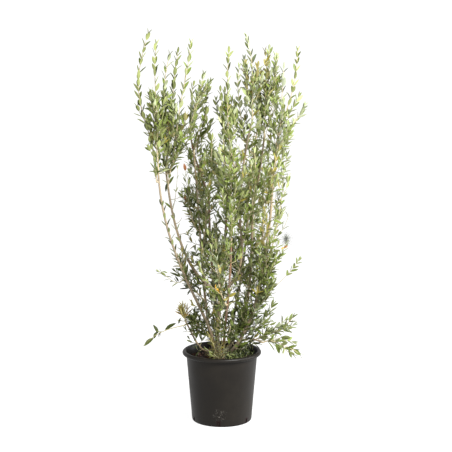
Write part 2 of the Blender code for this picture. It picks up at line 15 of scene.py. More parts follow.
import bpy
import numpy as np
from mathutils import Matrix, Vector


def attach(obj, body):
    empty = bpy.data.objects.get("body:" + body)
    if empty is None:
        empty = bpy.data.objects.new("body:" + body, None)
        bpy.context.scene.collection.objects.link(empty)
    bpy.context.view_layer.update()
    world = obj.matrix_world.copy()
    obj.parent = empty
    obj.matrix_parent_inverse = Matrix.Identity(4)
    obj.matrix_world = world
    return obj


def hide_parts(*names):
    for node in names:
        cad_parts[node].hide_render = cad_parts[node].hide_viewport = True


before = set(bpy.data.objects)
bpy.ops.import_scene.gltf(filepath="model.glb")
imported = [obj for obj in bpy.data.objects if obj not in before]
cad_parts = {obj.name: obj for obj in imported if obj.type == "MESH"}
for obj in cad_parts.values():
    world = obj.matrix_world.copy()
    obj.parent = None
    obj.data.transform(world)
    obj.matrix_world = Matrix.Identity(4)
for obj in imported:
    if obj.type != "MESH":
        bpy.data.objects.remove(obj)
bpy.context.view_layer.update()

log = logging.getLogger("phillyrea")

Array = np.ndarray
Draws = np.random.Generator
Place = tuple[float, float, float]
Span = tuple[float, float]

BODY = "root"
GOLDEN_ANGLE = math.radians(137.5)
UP = np.array((0.0, 0.0, 1.0))
TINY = 1e-12
SOIL_TOP = 0.245
TUBE_BULGES = (0.3, 0.8)


class Slot(Enum):
    """The record's material slots."""

    POT = "pot_plastic"
    SOIL = "compost"
    BARK = "bark"
    LEAF = "foliage"


# ---- small vector tools

def unit(vectors: Array) -> Array:
    """Scale vectors, in the last axis, to length one."""
    return vectors / np.maximum(np.linalg.norm(vectors, axis=-1, keepdims=True), TINY)


def square_to(direction: Array) -> Array:
    """A unit vector square to a direction, taken from the axis that it follows least."""
    axis = np.eye(3)[np.argmin(np.abs(direction))]
    return unit(np.cross(direction, axis))


def turned(vector: Array, axis: Array, angle: float) -> Array:
    """Turn a vector round a unit axis, by Rodrigues' formula."""
    return (vector * math.cos(angle) + np.cross(axis, vector) * math.sin(angle)
            + axis * (axis @ vector) * (1 - math.cos(angle)))


def beside(direction: Array, angle: float) -> Array:
    """A unit vector square to a direction, turned round it by an angle."""
    return turned(square_to(direction), direction, angle)


def cubic(start: Array, bend: Array, reach: Array, end: Array, steps: int) -> Array:
    """Points of a cubic curve: the four points weighed by the Bernstein polynomials.

    Args:
        start: first point.
        bend: handle of the first point.
        reach: handle of the last point.
        end: last point.
        steps: how many lengths the curve is cut into.

    Returns:
        The points, one row each.
    """
    t = np.linspace(0.0, 1.0, steps + 1)[:, None]
    s = 1 - t
    return s ** 3 * start + 3 * s * s * t * bend + 3 * s * t * t * reach + t ** 3 * end


def smooth_step(low: float, high: float, values: Array) -> Array:
    """Rise from 0 at low to 1 at high, level at both ends: 3x^2 - 2x^3."""
    x = np.clip((values - low) / (high - low), 0.0, 1.0)
    return x * x * (3 - 2 * x)


def value_noise(x: Array, y: Array, seed: int) -> Array:
    """Noise from -1 to 1: random heights on a lattice of step 1, blended by a smooth step.

    Args:
        x: first coordinate, in lattice steps.
        y: second coordinate, in lattice steps.
        seed: the seed of the lattice.

    Returns:
        One value for each point. The lattice repeats every 64 steps.
    """
    period = 64
    lattice = np.random.default_rng(seed).uniform(-1, 1, (period, period))
    i, j = np.floor(x).astype(int), np.floor(y).astype(int)
    u, v = smooth_step(0, 1, x - i), smooth_step(0, 1, y - j)
    i, j, right, above = i % period, j % period, (i + 1) % period, (j + 1) % period
    low = lattice[i, j] * (1 - u) + lattice[right, j] * u
    high = lattice[i, above] * (1 - u) + lattice[right, above] * u
    return low * (1 - v) + high * v


@dataclass
class Path:
    """A line of points with a radius at each, from which shoots and leaves grow."""

    points: Array
    radii: Array

    @classmethod
    def tapered(cls, points: Array, foot: float, tip: float) -> "Path":
        """A line whose radius goes evenly from its foot's to its tip's."""
        return cls(points, np.linspace(foot, tip, len(points)))

    @property
    def distances(self) -> Array:
        """How far along the line each point lies."""
        steps = np.linalg.norm(np.diff(self.points, axis=0), axis=1)
        return np.concatenate(([0.0], np.cumsum(steps)))

    @property
    def length(self) -> float:
        """The whole length."""
        return float(self.distances[-1])

    def at(self, share: float) -> tuple[Array, Array, float]:
        """Find a place on the line.

        Args:
            share: share of the length; what is below 0 or above 1 gives an end.

        Returns:
            The place, the line's direction and its radius there.
        """
        places = self.distances
        wanted = min(max(share, 0.0), 1.0) * places[-1]
        index = min(int(np.searchsorted(places, wanted, side="right")) - 1, len(places) - 2)
        step = self.points[index + 1] - self.points[index]
        inside = (wanted - places[index]) / max(places[index + 1] - places[index], TINY)
        radius = float(np.interp(wanted, places, self.radii))
        return self.points[index] + step * inside, unit(step), radius

    def cut(self, low: float, high: float, count: int, factor: float = 1.0) -> "Path":
        """The same line between two shares of its length.

        Args:
            low: share where it starts.
            high: share where it ends.
            count: how many points it goes through.
            factor: what its radii are multiplied by.

        Returns:
            The new line.
        """
        cuts = [self.at(share) for share in np.linspace(low, high, count)]
        return Path(np.array([place for place, _, _ in cuts]),
                    np.array([radius * factor for _, _, radius in cuts]))

    def seat(self, share: float, towards: Array) -> tuple[Array, Array, float]:
        """Where something grows from: the tip, or the side that faces a point.

        Args:
            share: share of the length, 1 for the tip.
            towards: the point that a side seat faces.

        Returns:
            A place on the surface, the direction out of it and the radius there.
        """
        place, direction, radius = self.at(share)
        if share >= 1.0:
            return place, direction, radius
        side = towards - place
        side = unit(side - direction * (side @ direction))
        return place + side * radius, side, radius


# ---- meshes

def linked(name: str, data: bpy.types.ID) -> bpy.types.Object:
    """Put a mesh, light or camera into the scene as an object at the origin.

    Args:
        name: the object's name.
        data: the mesh, light or camera.

    Returns:
        The new object.
    """
    item = bpy.data.objects.new(name, data)
    bpy.context.scene.collection.objects.link(item)
    return item


class Shape:
    """Vertices and faces that are gathered up and made one piece."""

    def __init__(self) -> None:
        """Start empty."""
        self.vertices: list[Array] = []
        self.faces: list[Array] = []
        self.finishes: list[Array] = []
        self.marks: list[Array] = []
        self.count = 0

    def add(self, vertices: Array, faces: Iterable[Array], finish: int | Sequence[int] = 0,
            marks: Array | None = None) -> None:
        """Add vertices and the faces between them.

        Args:
            vertices: points, one row each.
            faces: arrays of corner numbers, one row for each face.
            finish: material number, one for all or one for each array of faces.
            marks: for each vertex, the place on the straightened surface that a pattern reads.
        """
        arrays = list(faces)
        numbers = [finish] * len(arrays) if isinstance(finish, int) else list(finish)
        for array, number in zip(arrays, numbers):
            self.faces.append(array + self.count)
            self.finishes.append(np.full(len(array), number, np.int32))
        self.vertices.append(vertices)
        self.marks.append(vertices if marks is None else marks)
        self.count += len(vertices)

    def piece(self, name: str, materials: Sequence[bpy.types.Material], slot: Slot,
              sharp: float = 40.0) -> bpy.types.Object:
        """Make the piece and let it ride on the body.

        Args:
            name: the piece's name.
            materials: its materials, in the order of the finish numbers.
            slot: the record's slot; not used.
            sharp: edges bent by more than this many degrees stay sharp.

        Returns:
            The new object.
        """
        mesh = bpy.data.meshes.new(name)
        corners = np.concatenate([array.ravel() for array in self.faces]).astype(np.int32)
        sizes = np.concatenate([np.full(len(array), array.shape[1]) for array in self.faces])
        starts = np.concatenate(([0], np.cumsum(sizes)[:-1])).astype(np.int32)
        mesh.vertices.add(self.count)
        mesh.vertices.foreach_set("co", np.concatenate(self.vertices).astype(np.float32).ravel())
        mesh.loops.add(len(corners))
        mesh.loops.foreach_set("vertex_index", corners)
        mesh.polygons.add(len(starts))
        mesh.polygons.foreach_set("loop_start", starts)
        mesh.polygons.foreach_set("material_index", np.concatenate(self.finishes))
        mesh.update(calc_edges=True)
        mesh.validate()
        marks = mesh.attributes.new("straight", "FLOAT_VECTOR", "POINT")
        marks.data.foreach_set("vector", np.concatenate(self.marks).astype(np.float32).ravel())
        mesh.shade_smooth()
        mesh.set_sharp_from_angle(angle=math.radians(sharp))
        for material in materials:
            mesh.materials.append(material)
        item = linked(name, mesh)
        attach(item, BODY)
        log.info("%s: %d faces", name, len(mesh.polygons))
        return item


def ring_faces(rings: int, sides: int) -> Array:
    """Quads between rings of points that run counter-clockwise round a line, faces outward.

    Args:
        rings: number of rings.
        sides: points in each.

    Returns:
        Corner numbers, counted ring by ring from 0.
    """
    i, j = np.meshgrid(np.arange(rings - 1), np.arange(sides), indexing="ij")
    a, b = i * sides + j, i * sides + (j + 1) % sides
    return np.stack((a, b, b + sides, a + sides), axis=-1).reshape(-1, 4)


def end_faces(sides: int, first: int, apex: int, start: bool) -> Array:
    """Triangles from a ring to its apex, facing back at the start and on at the end.

    Args:
        sides: points in the ring.
        first: number of its first point.
        apex: number of the apex.
        start: whether the ring is the first of its surface.

    Returns:
        Corner numbers.
    """
    j = np.arange(sides)
    a, b = first + j, first + (j + 1) % sides
    tip = np.full(sides, apex)
    return np.stack((tip, b, a) if start else (tip, a, b), axis=-1)


def repeated(faces: Array, copies: int, block: int) -> Array:
    """The faces of many like bodies, from those of the first.

    Args:
        faces: corner numbers of the first body.
        copies: how many bodies there are.
        block: how many points each has.

    Returns:
        Corner numbers of all.
    """
    shift = (np.arange(copies) * block)[:, None, None]
    return (faces[None] + shift).reshape(-1, faces.shape[1])


def frames(points: Array) -> tuple[Array, Array, Array]:
    """Directions along and across many lines at once.

    The direction along is the central difference of the points. The two across come from the axis
    that each line follows least, made square to it.

    Args:
        points: lines x knots x 3.

    Returns:
        Along, first across and second across, each of the same shape.
    """
    tangents = unit(np.gradient(points, axis=1))
    least = np.argmin(np.abs(tangents).max(axis=1), axis=1)
    guide = np.eye(3)[least][:, None, :]
    first = unit(np.cross(np.broadcast_to(guide, tangents.shape), tangents))
    return tangents, first, np.cross(tangents, first)


def add_tubes(shape: Shape, points: Array, radii: Array, sides: int) -> None:
    """Add round closed tubes: each knot's ring is its centre plus radius x (cos a, sin a) across.

    Args:
        shape: what they are added to.
        points: tubes x knots x 3.
        radii: tubes x knots.
        sides: how many sides each tube has.
    """
    tubes, knots, _ = points.shape
    along, first, second = frames(points)
    turn = np.arange(sides) * math.tau / sides
    across = (first[:, :, None, :] * np.cos(turn)[None, None, :, None]
              + second[:, :, None, :] * np.sin(turn)[None, None, :, None])
    rings = points[:, :, None, :] + across * radii[:, :, None, None]
    foot = points[:, 0] - along[:, 0] * radii[:, :1] * TUBE_BULGES[0]
    tip = points[:, -1] + along[:, -1] * radii[:, -1:] * TUBE_BULGES[1]
    block = knots * sides + 2
    vertices = np.concatenate((rings.reshape(tubes, -1, 3), foot[:, None], tip[:, None]), axis=1)
    caps = np.concatenate((end_faces(sides, 0, block - 2, True),
                           end_faces(sides, (knots - 1) * sides, block - 1, False)))
    shape.add(vertices.reshape(-1, 3),
              [repeated(part, tubes, block) for part in (ring_faces(knots, sides), caps)])


# ---- shader maths

class Socket:
    """A node's output with the arithmetic operators, each of which adds a Math node."""

    def __init__(self, graph: "Graph", socket: bpy.types.NodeSocket) -> None:
        """Wrap a socket of the graph."""
        self.graph = graph
        self.socket = socket

    def _math(self, operation: str, *values: Any) -> "Socket":
        """A Math node on these values."""
        return self.graph.node("ShaderNodeMath", {"operation": operation}, dict(enumerate(values)))

    def __add__(self, other: Any) -> "Socket":
        """self + other."""
        return self._math("ADD", self, other)

    __radd__ = __add__

    def __sub__(self, other: Any) -> "Socket":
        """self - other."""
        return self._math("SUBTRACT", self, other)

    def __rsub__(self, other: Any) -> "Socket":
        """other - self."""
        return self._math("SUBTRACT", other, self)

    def __mul__(self, other: Any) -> "Socket":
        """self x other."""
        return self._math("MULTIPLY", self, other)

    __rmul__ = __mul__

    def above(self, low: float, high: float) -> "Socket":
        """Rise from 0 at low to 1 at high."""
        return self.graph.node("ShaderNodeMapRange", {"interpolation_type": "SMOOTHSTEP"},
                               {"Value": self, "From Min": low, "From Max": high})


class Graph:
    """The node tree of one material, ending in its Principled shader."""

    def __init__(self, name: str, **plain: Any) -> None:
        """Make a material.

        Args:
            name: its name.
            plain: plain values of the shader's sockets, by name, with _ for a space.
        """
        self.material = bpy.data.materials.new(name)
        self.material.use_nodes = True
        self.tree = self.material.node_tree
        self.shader = self.tree.nodes["Principled BSDF"]
        for socket, value in plain.items():
            self.shader.inputs[socket.replace("_", " ")].default_value = value

    def node(self, kind: str, settings: dict[str, Any], inputs: dict[Any, Any],
             output: int | str = 0) -> Socket:
        """Add any node.

        Args:
            kind: the node's type.
            settings: its properties, set before its sockets.
            inputs: values or links, by socket name or number.
            output: the output that is handed on.

        Returns:
            That output.
        """
        made = self.tree.nodes.new(kind)
        for key, value in settings.items():
            setattr(made, key, value)
        for key, value in inputs.items():
            self.feed(made.inputs[key], value)
        return Socket(self, made.outputs[output])

    def feed(self, target: bpy.types.NodeSocket, value: Any) -> None:
        """Link a socket to an input, or set the input's value.

        Args:
            target: the input.
            value: a socket or a plain value.
        """
        if isinstance(value, Socket):
            self.tree.links.new(value.socket, target)
        else:
            target.default_value = value

    def drive(self, **links: Socket) -> "Graph":
        """Link patterns to the shader.

        Args:
            links: patterns by the socket's name, with _ for a space.

        Returns:
            This graph.
        """
        for socket, value in links.items():
            self.feed(self.shader.inputs[socket.replace("_", " ")], value)
        return self

    def place(self) -> Socket:
        """Object coordinates."""
        return self.node("ShaderNodeTexCoord", {}, {}, "Object")

    def straight(self) -> Socket:
        """The place on the straightened limb."""
        return self.node("ShaderNodeAttribute", {"attribute_name": "straight"}, {}, "Vector")

    def stretched(self, place: Socket, scale: Place) -> Socket:
        """Coordinates scaled along each axis."""
        return self.node("ShaderNodeVectorMath", {"operation": "MULTIPLY"}, {0: place, 1: scale})

    def noise(self, place: Socket, scale: float, detail: float = 4.0, rough: float = 0.55) -> Socket:
        """Fractal noise about 0.5."""
        return self.node("ShaderNodeTexNoise", {"noise_dimensions": "3D"},
                         {"Vector": place, "Scale": scale, "Detail": detail, "Roughness": rough})

    def cells(self, place: Socket, scale: float) -> Socket:
        """Distance to the nearest of scattered points."""
        return self.node("ShaderNodeTexVoronoi", {"feature": "F1"}, {"Vector": place, "Scale": scale})

    def part(self, place: Socket, axis: str) -> Socket:
        """One coordinate of a place."""
        return self.node("ShaderNodeSeparateXYZ", {}, {0: place}, axis)

    def blend(self, share: Socket, first: Any, second: Any) -> Socket:
        """A colour from the first to the second as the share goes from 0 to 1."""
        return self.node("ShaderNodeMix", {"data_type": "RGBA"}, {0: share, 6: first, 7: second}, 2)

    def bump(self, height: Socket, strength: float, distance: float) -> Socket:
        """A normal from a height pattern."""
        return self.node("ShaderNodeBump", {}, {"Height": height, "Strength": strength,
                                                "Distance": distance}, "Normal")


def colour(code: int) -> tuple[float, float, float, float]:
    """A linear colour with full alpha, by the inverse of the sRGB curve.

    Args:
        code: the display colour, written as 0xRRGGBB.

    Returns:
        Red, green, blue and alpha.
    """
    parts = np.array([(code >> shift & 255) / 255 for shift in (16, 8, 0)])
    linear = np.where(parts <= 0.04045, parts / 12.92, ((parts + 0.055) / 1.055) ** 2.4)
    return (*(float(part) for part in linear), 1.0)


# ---- finishes

@dataclass(frozen=True)
class PotPlastic:
    """Black moulded polypropylene: satin, dusty, with fine scratches and a scuffed patch."""

    base: int = 0x120F0B
    dust: int = 0x1D1913
    chalk: int = 0x77736C
    stain: int = 0x140504
    scuff_at: Place = (-0.008, -0.118, 0.048)
    scuff_reach: Span = (0.008, 0.035)
    stain_top: Span = (0.023, 0.027)
    stain_edge: Span = (0.0068, 0.0088)
    stain_share: float = 0.96

    def stains(self, graph: Graph, place: Socket) -> Socket:
        """Dark red-brown water stains about the drain windows, each a box round its heading.

        Args:
            graph: the material's nodes.
            place: the coordinates.

        Returns:
            The stains' share of the colour.
        """
        pot = Pot()
        low = 1 - graph.part(place, "Z").above(*self.stain_top)
        total: Any = 0.0
        for i in range(pot.windows):
            turn = pot.window_turn + math.tau * i / pot.windows
            aside = graph.part(place, "X") * -math.sin(turn) + graph.part(place, "Y") * math.cos(turn)
            ahead = graph.part(place, "X") * math.cos(turn) + graph.part(place, "Y") * math.sin(turn)
            near = 1 - (aside * aside).above(*(edge ** 2 for edge in self.stain_edge))
            total = near * ahead.above(0.0, 0.01) + total
        return total * low * self.stain_share

    def material(self) -> bpy.types.Material:
        """Build the finish.

        Returns:
            The material.
        """
        graph = Graph("pot_plastic_black", Specular_IOR_Level=0.17)
        place = graph.place()
        dust = graph.noise(place, 9.0, 6.0, 0.6).above(0.42, 0.78)
        grain = graph.noise(place, 420.0, 2.0)
        streaks = graph.noise(graph.stretched(place, (60.0, 60.0, 5.0)), 1.6, 3.0).above(0.58, 0.75)
        scuff_range = graph.node("ShaderNodeVectorMath", {"operation": "DISTANCE"},
                                 {0: place, 1: self.scuff_at}, "Value")
        scuffs = ((1 - scuff_range.above(*self.scuff_reach))
                  * graph.noise(place, 260.0, 3.0).above(0.56, 0.70))
        tone = graph.blend(dust * 0.55 + streaks * 0.10, colour(self.base), colour(self.dust))
        tone = graph.blend(scuffs * 0.55, tone, colour(self.chalk))
        tone = graph.blend(self.stains(graph, place), tone, colour(self.stain))
        rough = 0.40 + dust * 0.14 + grain * 0.10 + scuffs * 0.15
        height = grain * 0.5 + streaks * 0.4 + scuffs
        return graph.drive(Base_Color=tone, Roughness=rough,
                           Normal=graph.bump(height, 0.25, 0.0006)).material


@dataclass(frozen=True)
class Compost:
    """Moist peat with reddish fibres and paler crumbs."""

    dark: int = 0x120D0A
    brown: int = 0x231812
    fibre: int = 0x46291A

    def material(self) -> bpy.types.Material:
        """Build the finish.

        Returns:
            The material.
        """
        graph = Graph("compost_moist", Specular_IOR_Level=0.25)
        place = graph.place()
        crumbs = graph.noise(place, 95.0, 6.0, 0.65)
        fibres = graph.noise(graph.stretched(place, (1.0, 3.2, 1.0)), 210.0, 3.0).above(0.60, 0.72)
        tone = graph.blend(crumbs.above(0.35, 0.70), colour(self.dark), colour(self.brown))
        tone = graph.blend(fibres * 0.7, tone, colour(self.fibre))
        return graph.drive(Base_Color=tone, Roughness=0.80 + crumbs * 0.18,
                           Normal=graph.bump(crumbs + fibres * 0.4, 0.8, 0.003)).material


@dataclass(frozen=True)
class Bark:
    """Thin bark: long fine ridges, pale lenticels and a grey bloom over tan.

    Attributes:
        darkening_heights: heights between which the limbs go from darker at their feet to their own tone
            above.
    """

    name: str
    tan: int
    grey: int
    dark: int
    pore: int = 0xB0A080
    darkening_heights: Span = (0.30, 0.85)

    def material(self) -> bpy.types.Material:
        """Build the finish.

        Returns:
            The material.
        """
        graph = Graph(self.name, Specular_IOR_Level=0.3)
        place = graph.straight()
        lower = 1 - graph.part(graph.place(), "Z").above(*self.darkening_heights)
        ridges = graph.noise(graph.stretched(place, (1.0, 1.0, 0.16)), 900.0, 4.0, 0.6)
        bloom = graph.noise(graph.stretched(place, (1.0, 1.0, 0.45)), 60.0, 4.0)
        pores = 1 - graph.cells(graph.stretched(place, (1.0, 1.0, 0.5)), 260.0).above(0.10, 0.30)
        tone = graph.blend(bloom.above(0.38, 0.66), colour(self.tan), colour(self.grey))
        tone = graph.blend(ridges.above(0.52, 0.72) * 0.75, tone, colour(self.dark))
        tone = graph.blend(pores * 0.30, tone, colour(self.pore))
        # darker towards the limbs' feet, fading out upward
        tone = graph.blend(lower * 0.32, tone, colour(self.dark))
        return graph.drive(Base_Color=tone, Roughness=0.62 + bloom * 0.25,
                           Normal=graph.bump(ridges + pores * 0.5, 0.6, 0.0006)).material


@dataclass(frozen=True)
class PlainFinish:
    """One plain colour, for twigs and leaves that are told apart by spray."""

    name: str
    shade: int
    roughness: float = 0.5
    gloss: float = 0.22

    def material(self) -> bpy.types.Material:
        """Build and return the material."""
        return Graph(self.name, Base_Color=colour(self.shade), Roughness=self.roughness,
                     Specular_IOR_Level=self.gloss).material


class Tint(Enum):
    """The sprays' colours: name, upper side and underside."""

    FRESH = ("fresh", 0x727D48, 0x9AA07E)
    BRIGHT = ("bright", 0x687537, 0x989E70)
    MID = ("mid", 0x556125, 0x878E58)
    OLIVE = ("olive", 0x7A7230, 0x938C5A)
    DEEP = ("deep", 0x444E1D, 0x717849)
    DARK = ("dark", 0x303715, 0x5B6039)
    GREY = ("grey", 0x676F51, 0x939980)
    BRONZE = ("bronze", 0x735F2D, 0x887649)
    YELLOW = ("yellow", 0xD6A72E, 0xDDBB5C)
    RUST = ("rust", 0x7C5234, 0x8C684C)
    LITTER = ("litter", 0x4E3020, 0x5E4030)
    MOSS = ("moss", 0x2A3214, 0x3C4424)


# ---- limbs

@dataclass(frozen=True)
class Stem:
    """A stem: a cubic curve from its level foot in the compost to its tip."""

    foot: Span
    bend: Place
    reach: Place
    tip: Place
    foot_radius: float
    tip_radius: float


@dataclass(frozen=True)
class Bough:
    """A bough: a cubic curve from a seat on its host to its tip."""

    host: str
    at: float
    bend: Place
    reach: Place
    tip: Place
    foot_radius: float
    tip_radius: float


STEMS = {
    "stem_main": Stem((-0.01, 0.0), (-0.03, 0.0, 0.33), (-0.005, 0.0, 0.42), (-0.005, 0.0, 0.515), 0.009,
        0.0072),
    "stem_left_outer": Stem((-0.024, -0.026), (-0.03, -0.04, 0.41), (-0.22, -0.05, 0.61),
        (-0.235, -0.03, 0.96), 0.0062, 0.0034),
    "stem_left_low": Stem((-0.045, -0.01), (-0.085, -0.015, 0.262), (-0.105, -0.025, 0.325),
        (-0.135, -0.03, 0.385), 0.004, 0.003),
    "stem_mid_left": Stem((-0.034, 0.024), (-0.075, 0.05, 0.44), (-0.08, 0.06, 0.74),
        (-0.105, 0.05, 1.015), 0.0058, 0.003),
    "stem_right": Stem((0.018, 0.018), (0.075, 0.03, 0.335), (0.115, 0.05, 0.44), (0.115, 0.06, 0.73),
        0.0075, 0.0048),
    "stem_right_outer": Stem((0.034, -0.018), (0.115, -0.03, 0.365), (0.15, -0.06, 0.51),
        (0.18, -0.06, 0.79), 0.006, 0.0042),
    "stem_low_right": Stem((0.052, 0.008), (0.075, 0.0, 0.325), (0.11, -0.01, 0.32), (0.15, -0.02, 0.305),
        0.0042, 0.003),
    "stem_back": Stem((-0.012, 0.048), (-0.02, 0.08, 0.43), (-0.045, 0.15, 0.56), (-0.05, 0.165, 0.8),
        0.0062, 0.0042),
    "stem_back_right": Stem((0.028, 0.05), (0.045, 0.08, 0.42), (0.09, 0.16, 0.52), (0.1, 0.17, 0.78),
        0.0058, 0.004),
    "stem_front": Stem((0.006, -0.04), (0.01, -0.07, 0.4), (0.03, -0.14, 0.48), (0.035, -0.14, 0.7),
        0.005, 0.0034),
}

BOUGHS = {
    "bough_left": Bough("stem_main", 0.93, (-0.12, 0.01, 0.55), (-0.185, 0.03, 0.695),
        (-0.21, 0.04, 0.955), 0.006, 0.0036),
    "bough_right": Bough("stem_main", 0.96, (0.055, -0.01, 0.53), (0.09, -0.02, 0.605),
        (0.07, -0.03, 0.745), 0.0058, 0.0046),
    "bough_right_top": Bough("bough_right", 1.0, (0.065, -0.03, 0.835), (0.075, -0.03, 1.0),
        (0.11, -0.03, 1.13), 0.0046, 0.0032),
    "bough_centre": Bough("stem_main", 1.0, (0.0, 0.015, 0.64), (0.035, 0.03, 0.745), (0.01, 0.03, 1.02),
        0.0062, 0.0032),
    "bough_right_mid": Bough("stem_right", 1.0, (0.115, 0.065, 0.83), (0.15, 0.07, 0.945),
        (0.16, 0.07, 1.075), 0.0048, 0.0032),
    "bough_right_outer": Bough("stem_right_outer", 1.0, (0.186, -0.058, 0.87), (0.19, -0.05, 0.955),
        (0.2, -0.04, 1.045), 0.0042, 0.003),
    "bough_back_left": Bough("stem_back", 1.0, (-0.05, 0.17, 0.88), (-0.11, 0.16, 0.96),
        (-0.12, 0.15, 1.08), 0.0042, 0.003),
    "bough_back_right": Bough("stem_back_right", 1.0, (0.102, 0.172, 0.86), (0.12, 0.17, 0.96),
        (0.13, 0.16, 1.06), 0.004, 0.003),
}

PALE_BARK = Bark("bark_pale", 0x8A7A60, 0x7E7463, 0x544530)
RED_BARK = Bark("bark_red", 0x74543C, 0x6E5F50, 0x3A2C22)
DARK_LIMBS = ("bough_centre", "stem_back", "stem_front", "bough_back_left")


@dataclass
class Limbs:
    """The stems and boughs, with bark in relief.

    Attributes:
        flare_height: a stem's foot widens below this height above the compost.
        stub: straight start of a bough, in radii of its foot.
        collar_sink: how far a bough's foot goes into its host, in radii.
        ridge: height of the bark's ridges, as a share of the radius.
        node_gap: distance between the leaf scars' rings.
    """

    steps: int = 90
    sides: int = 20
    flare_height: float = 0.022
    flare: float = 1.55
    flare_steps: int = 8
    stub: float = 1.2
    sink: float = 0.012
    root_swell: float = 1.1
    collar_sink: float = 1.6
    collar_swell: float = 1.25
    bulges: Span = (0.2, 0.7)
    ridge: float = 0.06
    node_gap: float = 0.027
    scar_height: float = 0.09
    scar_width: float = 0.07
    paths: dict[str, Path] = field(default_factory=dict)

    def lay_out(self) -> dict[str, Path]:
        """Work out every limb's line and radii.

        Returns:
            The lines, by the limb's name.
        """
        for name, stem in STEMS.items():
            foot = np.array((*stem.foot, SOIL_TOP))
            level = foot + UP * self.flare_height
            curve = cubic(level, *map(np.array, (stem.bend, stem.reach, stem.tip)), self.steps)
            rise = np.linspace(0.0, self.flare_height, self.flare_steps, endpoint=False)[:, None]
            points = np.concatenate((foot + UP * rise, curve))
            radii = np.linspace(stem.foot_radius, stem.tip_radius, len(points))
            near = np.clip(1 - (points[:, 2] - SOIL_TOP) / self.flare_height, 0, 1)
            self.paths[name] = Path(points, radii * (1 + (self.flare - 1) * near ** 2))
        for name, bough in BOUGHS.items():
            seat, side, _ = self.paths[bough.host].seat(bough.at, np.array(bough.bend))
            stub = seat + side * bough.foot_radius * self.stub
            curve = cubic(stub, *map(np.array, (bough.bend, bough.reach, bough.tip)), self.steps)
            self.paths[name] = Path.tapered(np.concatenate((seat[None], curve)), bough.foot_radius,
                                            bough.tip_radius)
        return self.paths

    def rooted(self, name: str) -> Path:
        """A limb's line with its foot carried on into the compost or into its host.

        Args:
            name: the limb.

        Returns:
            The longer line.
        """
        path = self.paths[name]
        start, radius = path.points[0], path.radii[0]
        if name in STEMS:
            first, swell = start - UP * self.sink, self.root_swell
        else:
            first = start - unit(path.points[1] - start) * radius * self.collar_sink
            swell = self.collar_swell
        return Path(np.concatenate((first[None], path.points)),
                    np.concatenate(([radius * swell], path.radii)))

    def relief(self, turn: Array, places: Array, seed: int) -> Array:
        """How much the bark stands out, as a share of the radius.

        Ridges are noise on (k cos a, k sin a + m s) for angle a and distance s: long ones with
        k = 3.1 and m = 18, fine ones with k = 6.3 and m = 55. Each leaf scar is a ring that swells by
        a bell curve of its distance.

        Args:
            turn: angles round the limb.
            places: distances along it.
            seed: the limb's own seed.

        Returns:
            The relief at each pair of angle and distance.
        """
        long = value_noise(np.cos(turn) * 3.1 + 7 + seed, np.sin(turn) * 3.1 + places * 18, seed)
        fine = value_noise(np.cos(turn) * 6.3 + 11 + seed, np.sin(turn) * 6.3 + places * 55, seed + 50)
        phase = (places / self.node_gap + 0.5) % 1 - 0.5
        scars = np.exp(-(phase / self.scar_width) ** 2)
        return self.ridge * (0.6 * long + 0.4 * fine) + self.scar_height * scars

    def add(self, shape: Shape, path: Path, seed: int) -> None:
        """Add one limb: rings of radius x (1 + relief) round its line, closed at both ends.

        Args:
            shape: what it is added to.
            path: its line.
            seed: its own seed.
        """
        points, radii = path.points, path.radii
        along, first, second = (part[0] for part in frames(points[None]))
        turn = np.arange(self.sides) * math.tau / self.sides
        places = path.distances
        a, s = np.meshgrid(turn, places)
        reach = radii[:, None] * (1 + self.relief(a, s, seed))
        across = (first[:, None] * np.cos(a)[..., None] + second[:, None] * np.sin(a)[..., None])
        rings = (points[:, None] + across * reach[..., None]).reshape(-1, 3)
        foot = points[0] - along[0] * radii[0] * self.bulges[0]
        tip = points[-1] + along[-1] * radii[-1] * self.bulges[1]
        marks = np.stack((np.cos(a) * radii[0], np.sin(a) * radii[0], s), axis=-1).reshape(-1, 3)
        ends = np.array(((0, 0, 0), (0, 0, places[-1])), float)
        knots, block = len(points), len(rings)
        faces = [ring_faces(knots, self.sides), end_faces(self.sides, 0, block, True),
                 end_faces(self.sides, (knots - 1) * self.sides, block + 1, False)]
        shape.add(np.concatenate((rings, foot[None], tip[None])), faces,
                  marks=np.concatenate((marks, ends)) + np.array((0, 0, seed * 1.7)))

    def build(self) -> None:
        """Build and dress every limb, in place of its solid."""
        barks = {False: PALE_BARK.material(), True: RED_BARK.material()}
        for seed, name in enumerate(self.paths):
            shape = Shape()
            self.add(shape, self.rooted(name), seed)
            limb = shape.piece(f"bark_{name}", [barks[name in DARK_LIMBS]], Slot.BARK, sharp=75)
            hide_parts(name)


# ---- foliage

@dataclass(frozen=True)
class Growth:
    """How a mass is carried on to finer twigs.

    Attributes:
        low: share of the leader where its side shoots start.
        high: share where they end.
        shoots: side shoots for each one of the solid.
        rise: how far a side shoot climbs for what it spreads, least and most.
        twiggy: share of the places for twiglets that have one.
        gap: distance between pairs of leaves on the leader.
        bare: length of the leader's foot without leaves.
        size: length of the leaves, times that of their height.
        thin: how thick a leader without side shoots is, times a usual one, or 0 for a usual one.
    """

    low: float
    high: float
    shoots: float
    rise: Span
    twiggy: float
    gap: float
    bare: float = 0.02
    size: float = 1.0
    thin: float = 0.0


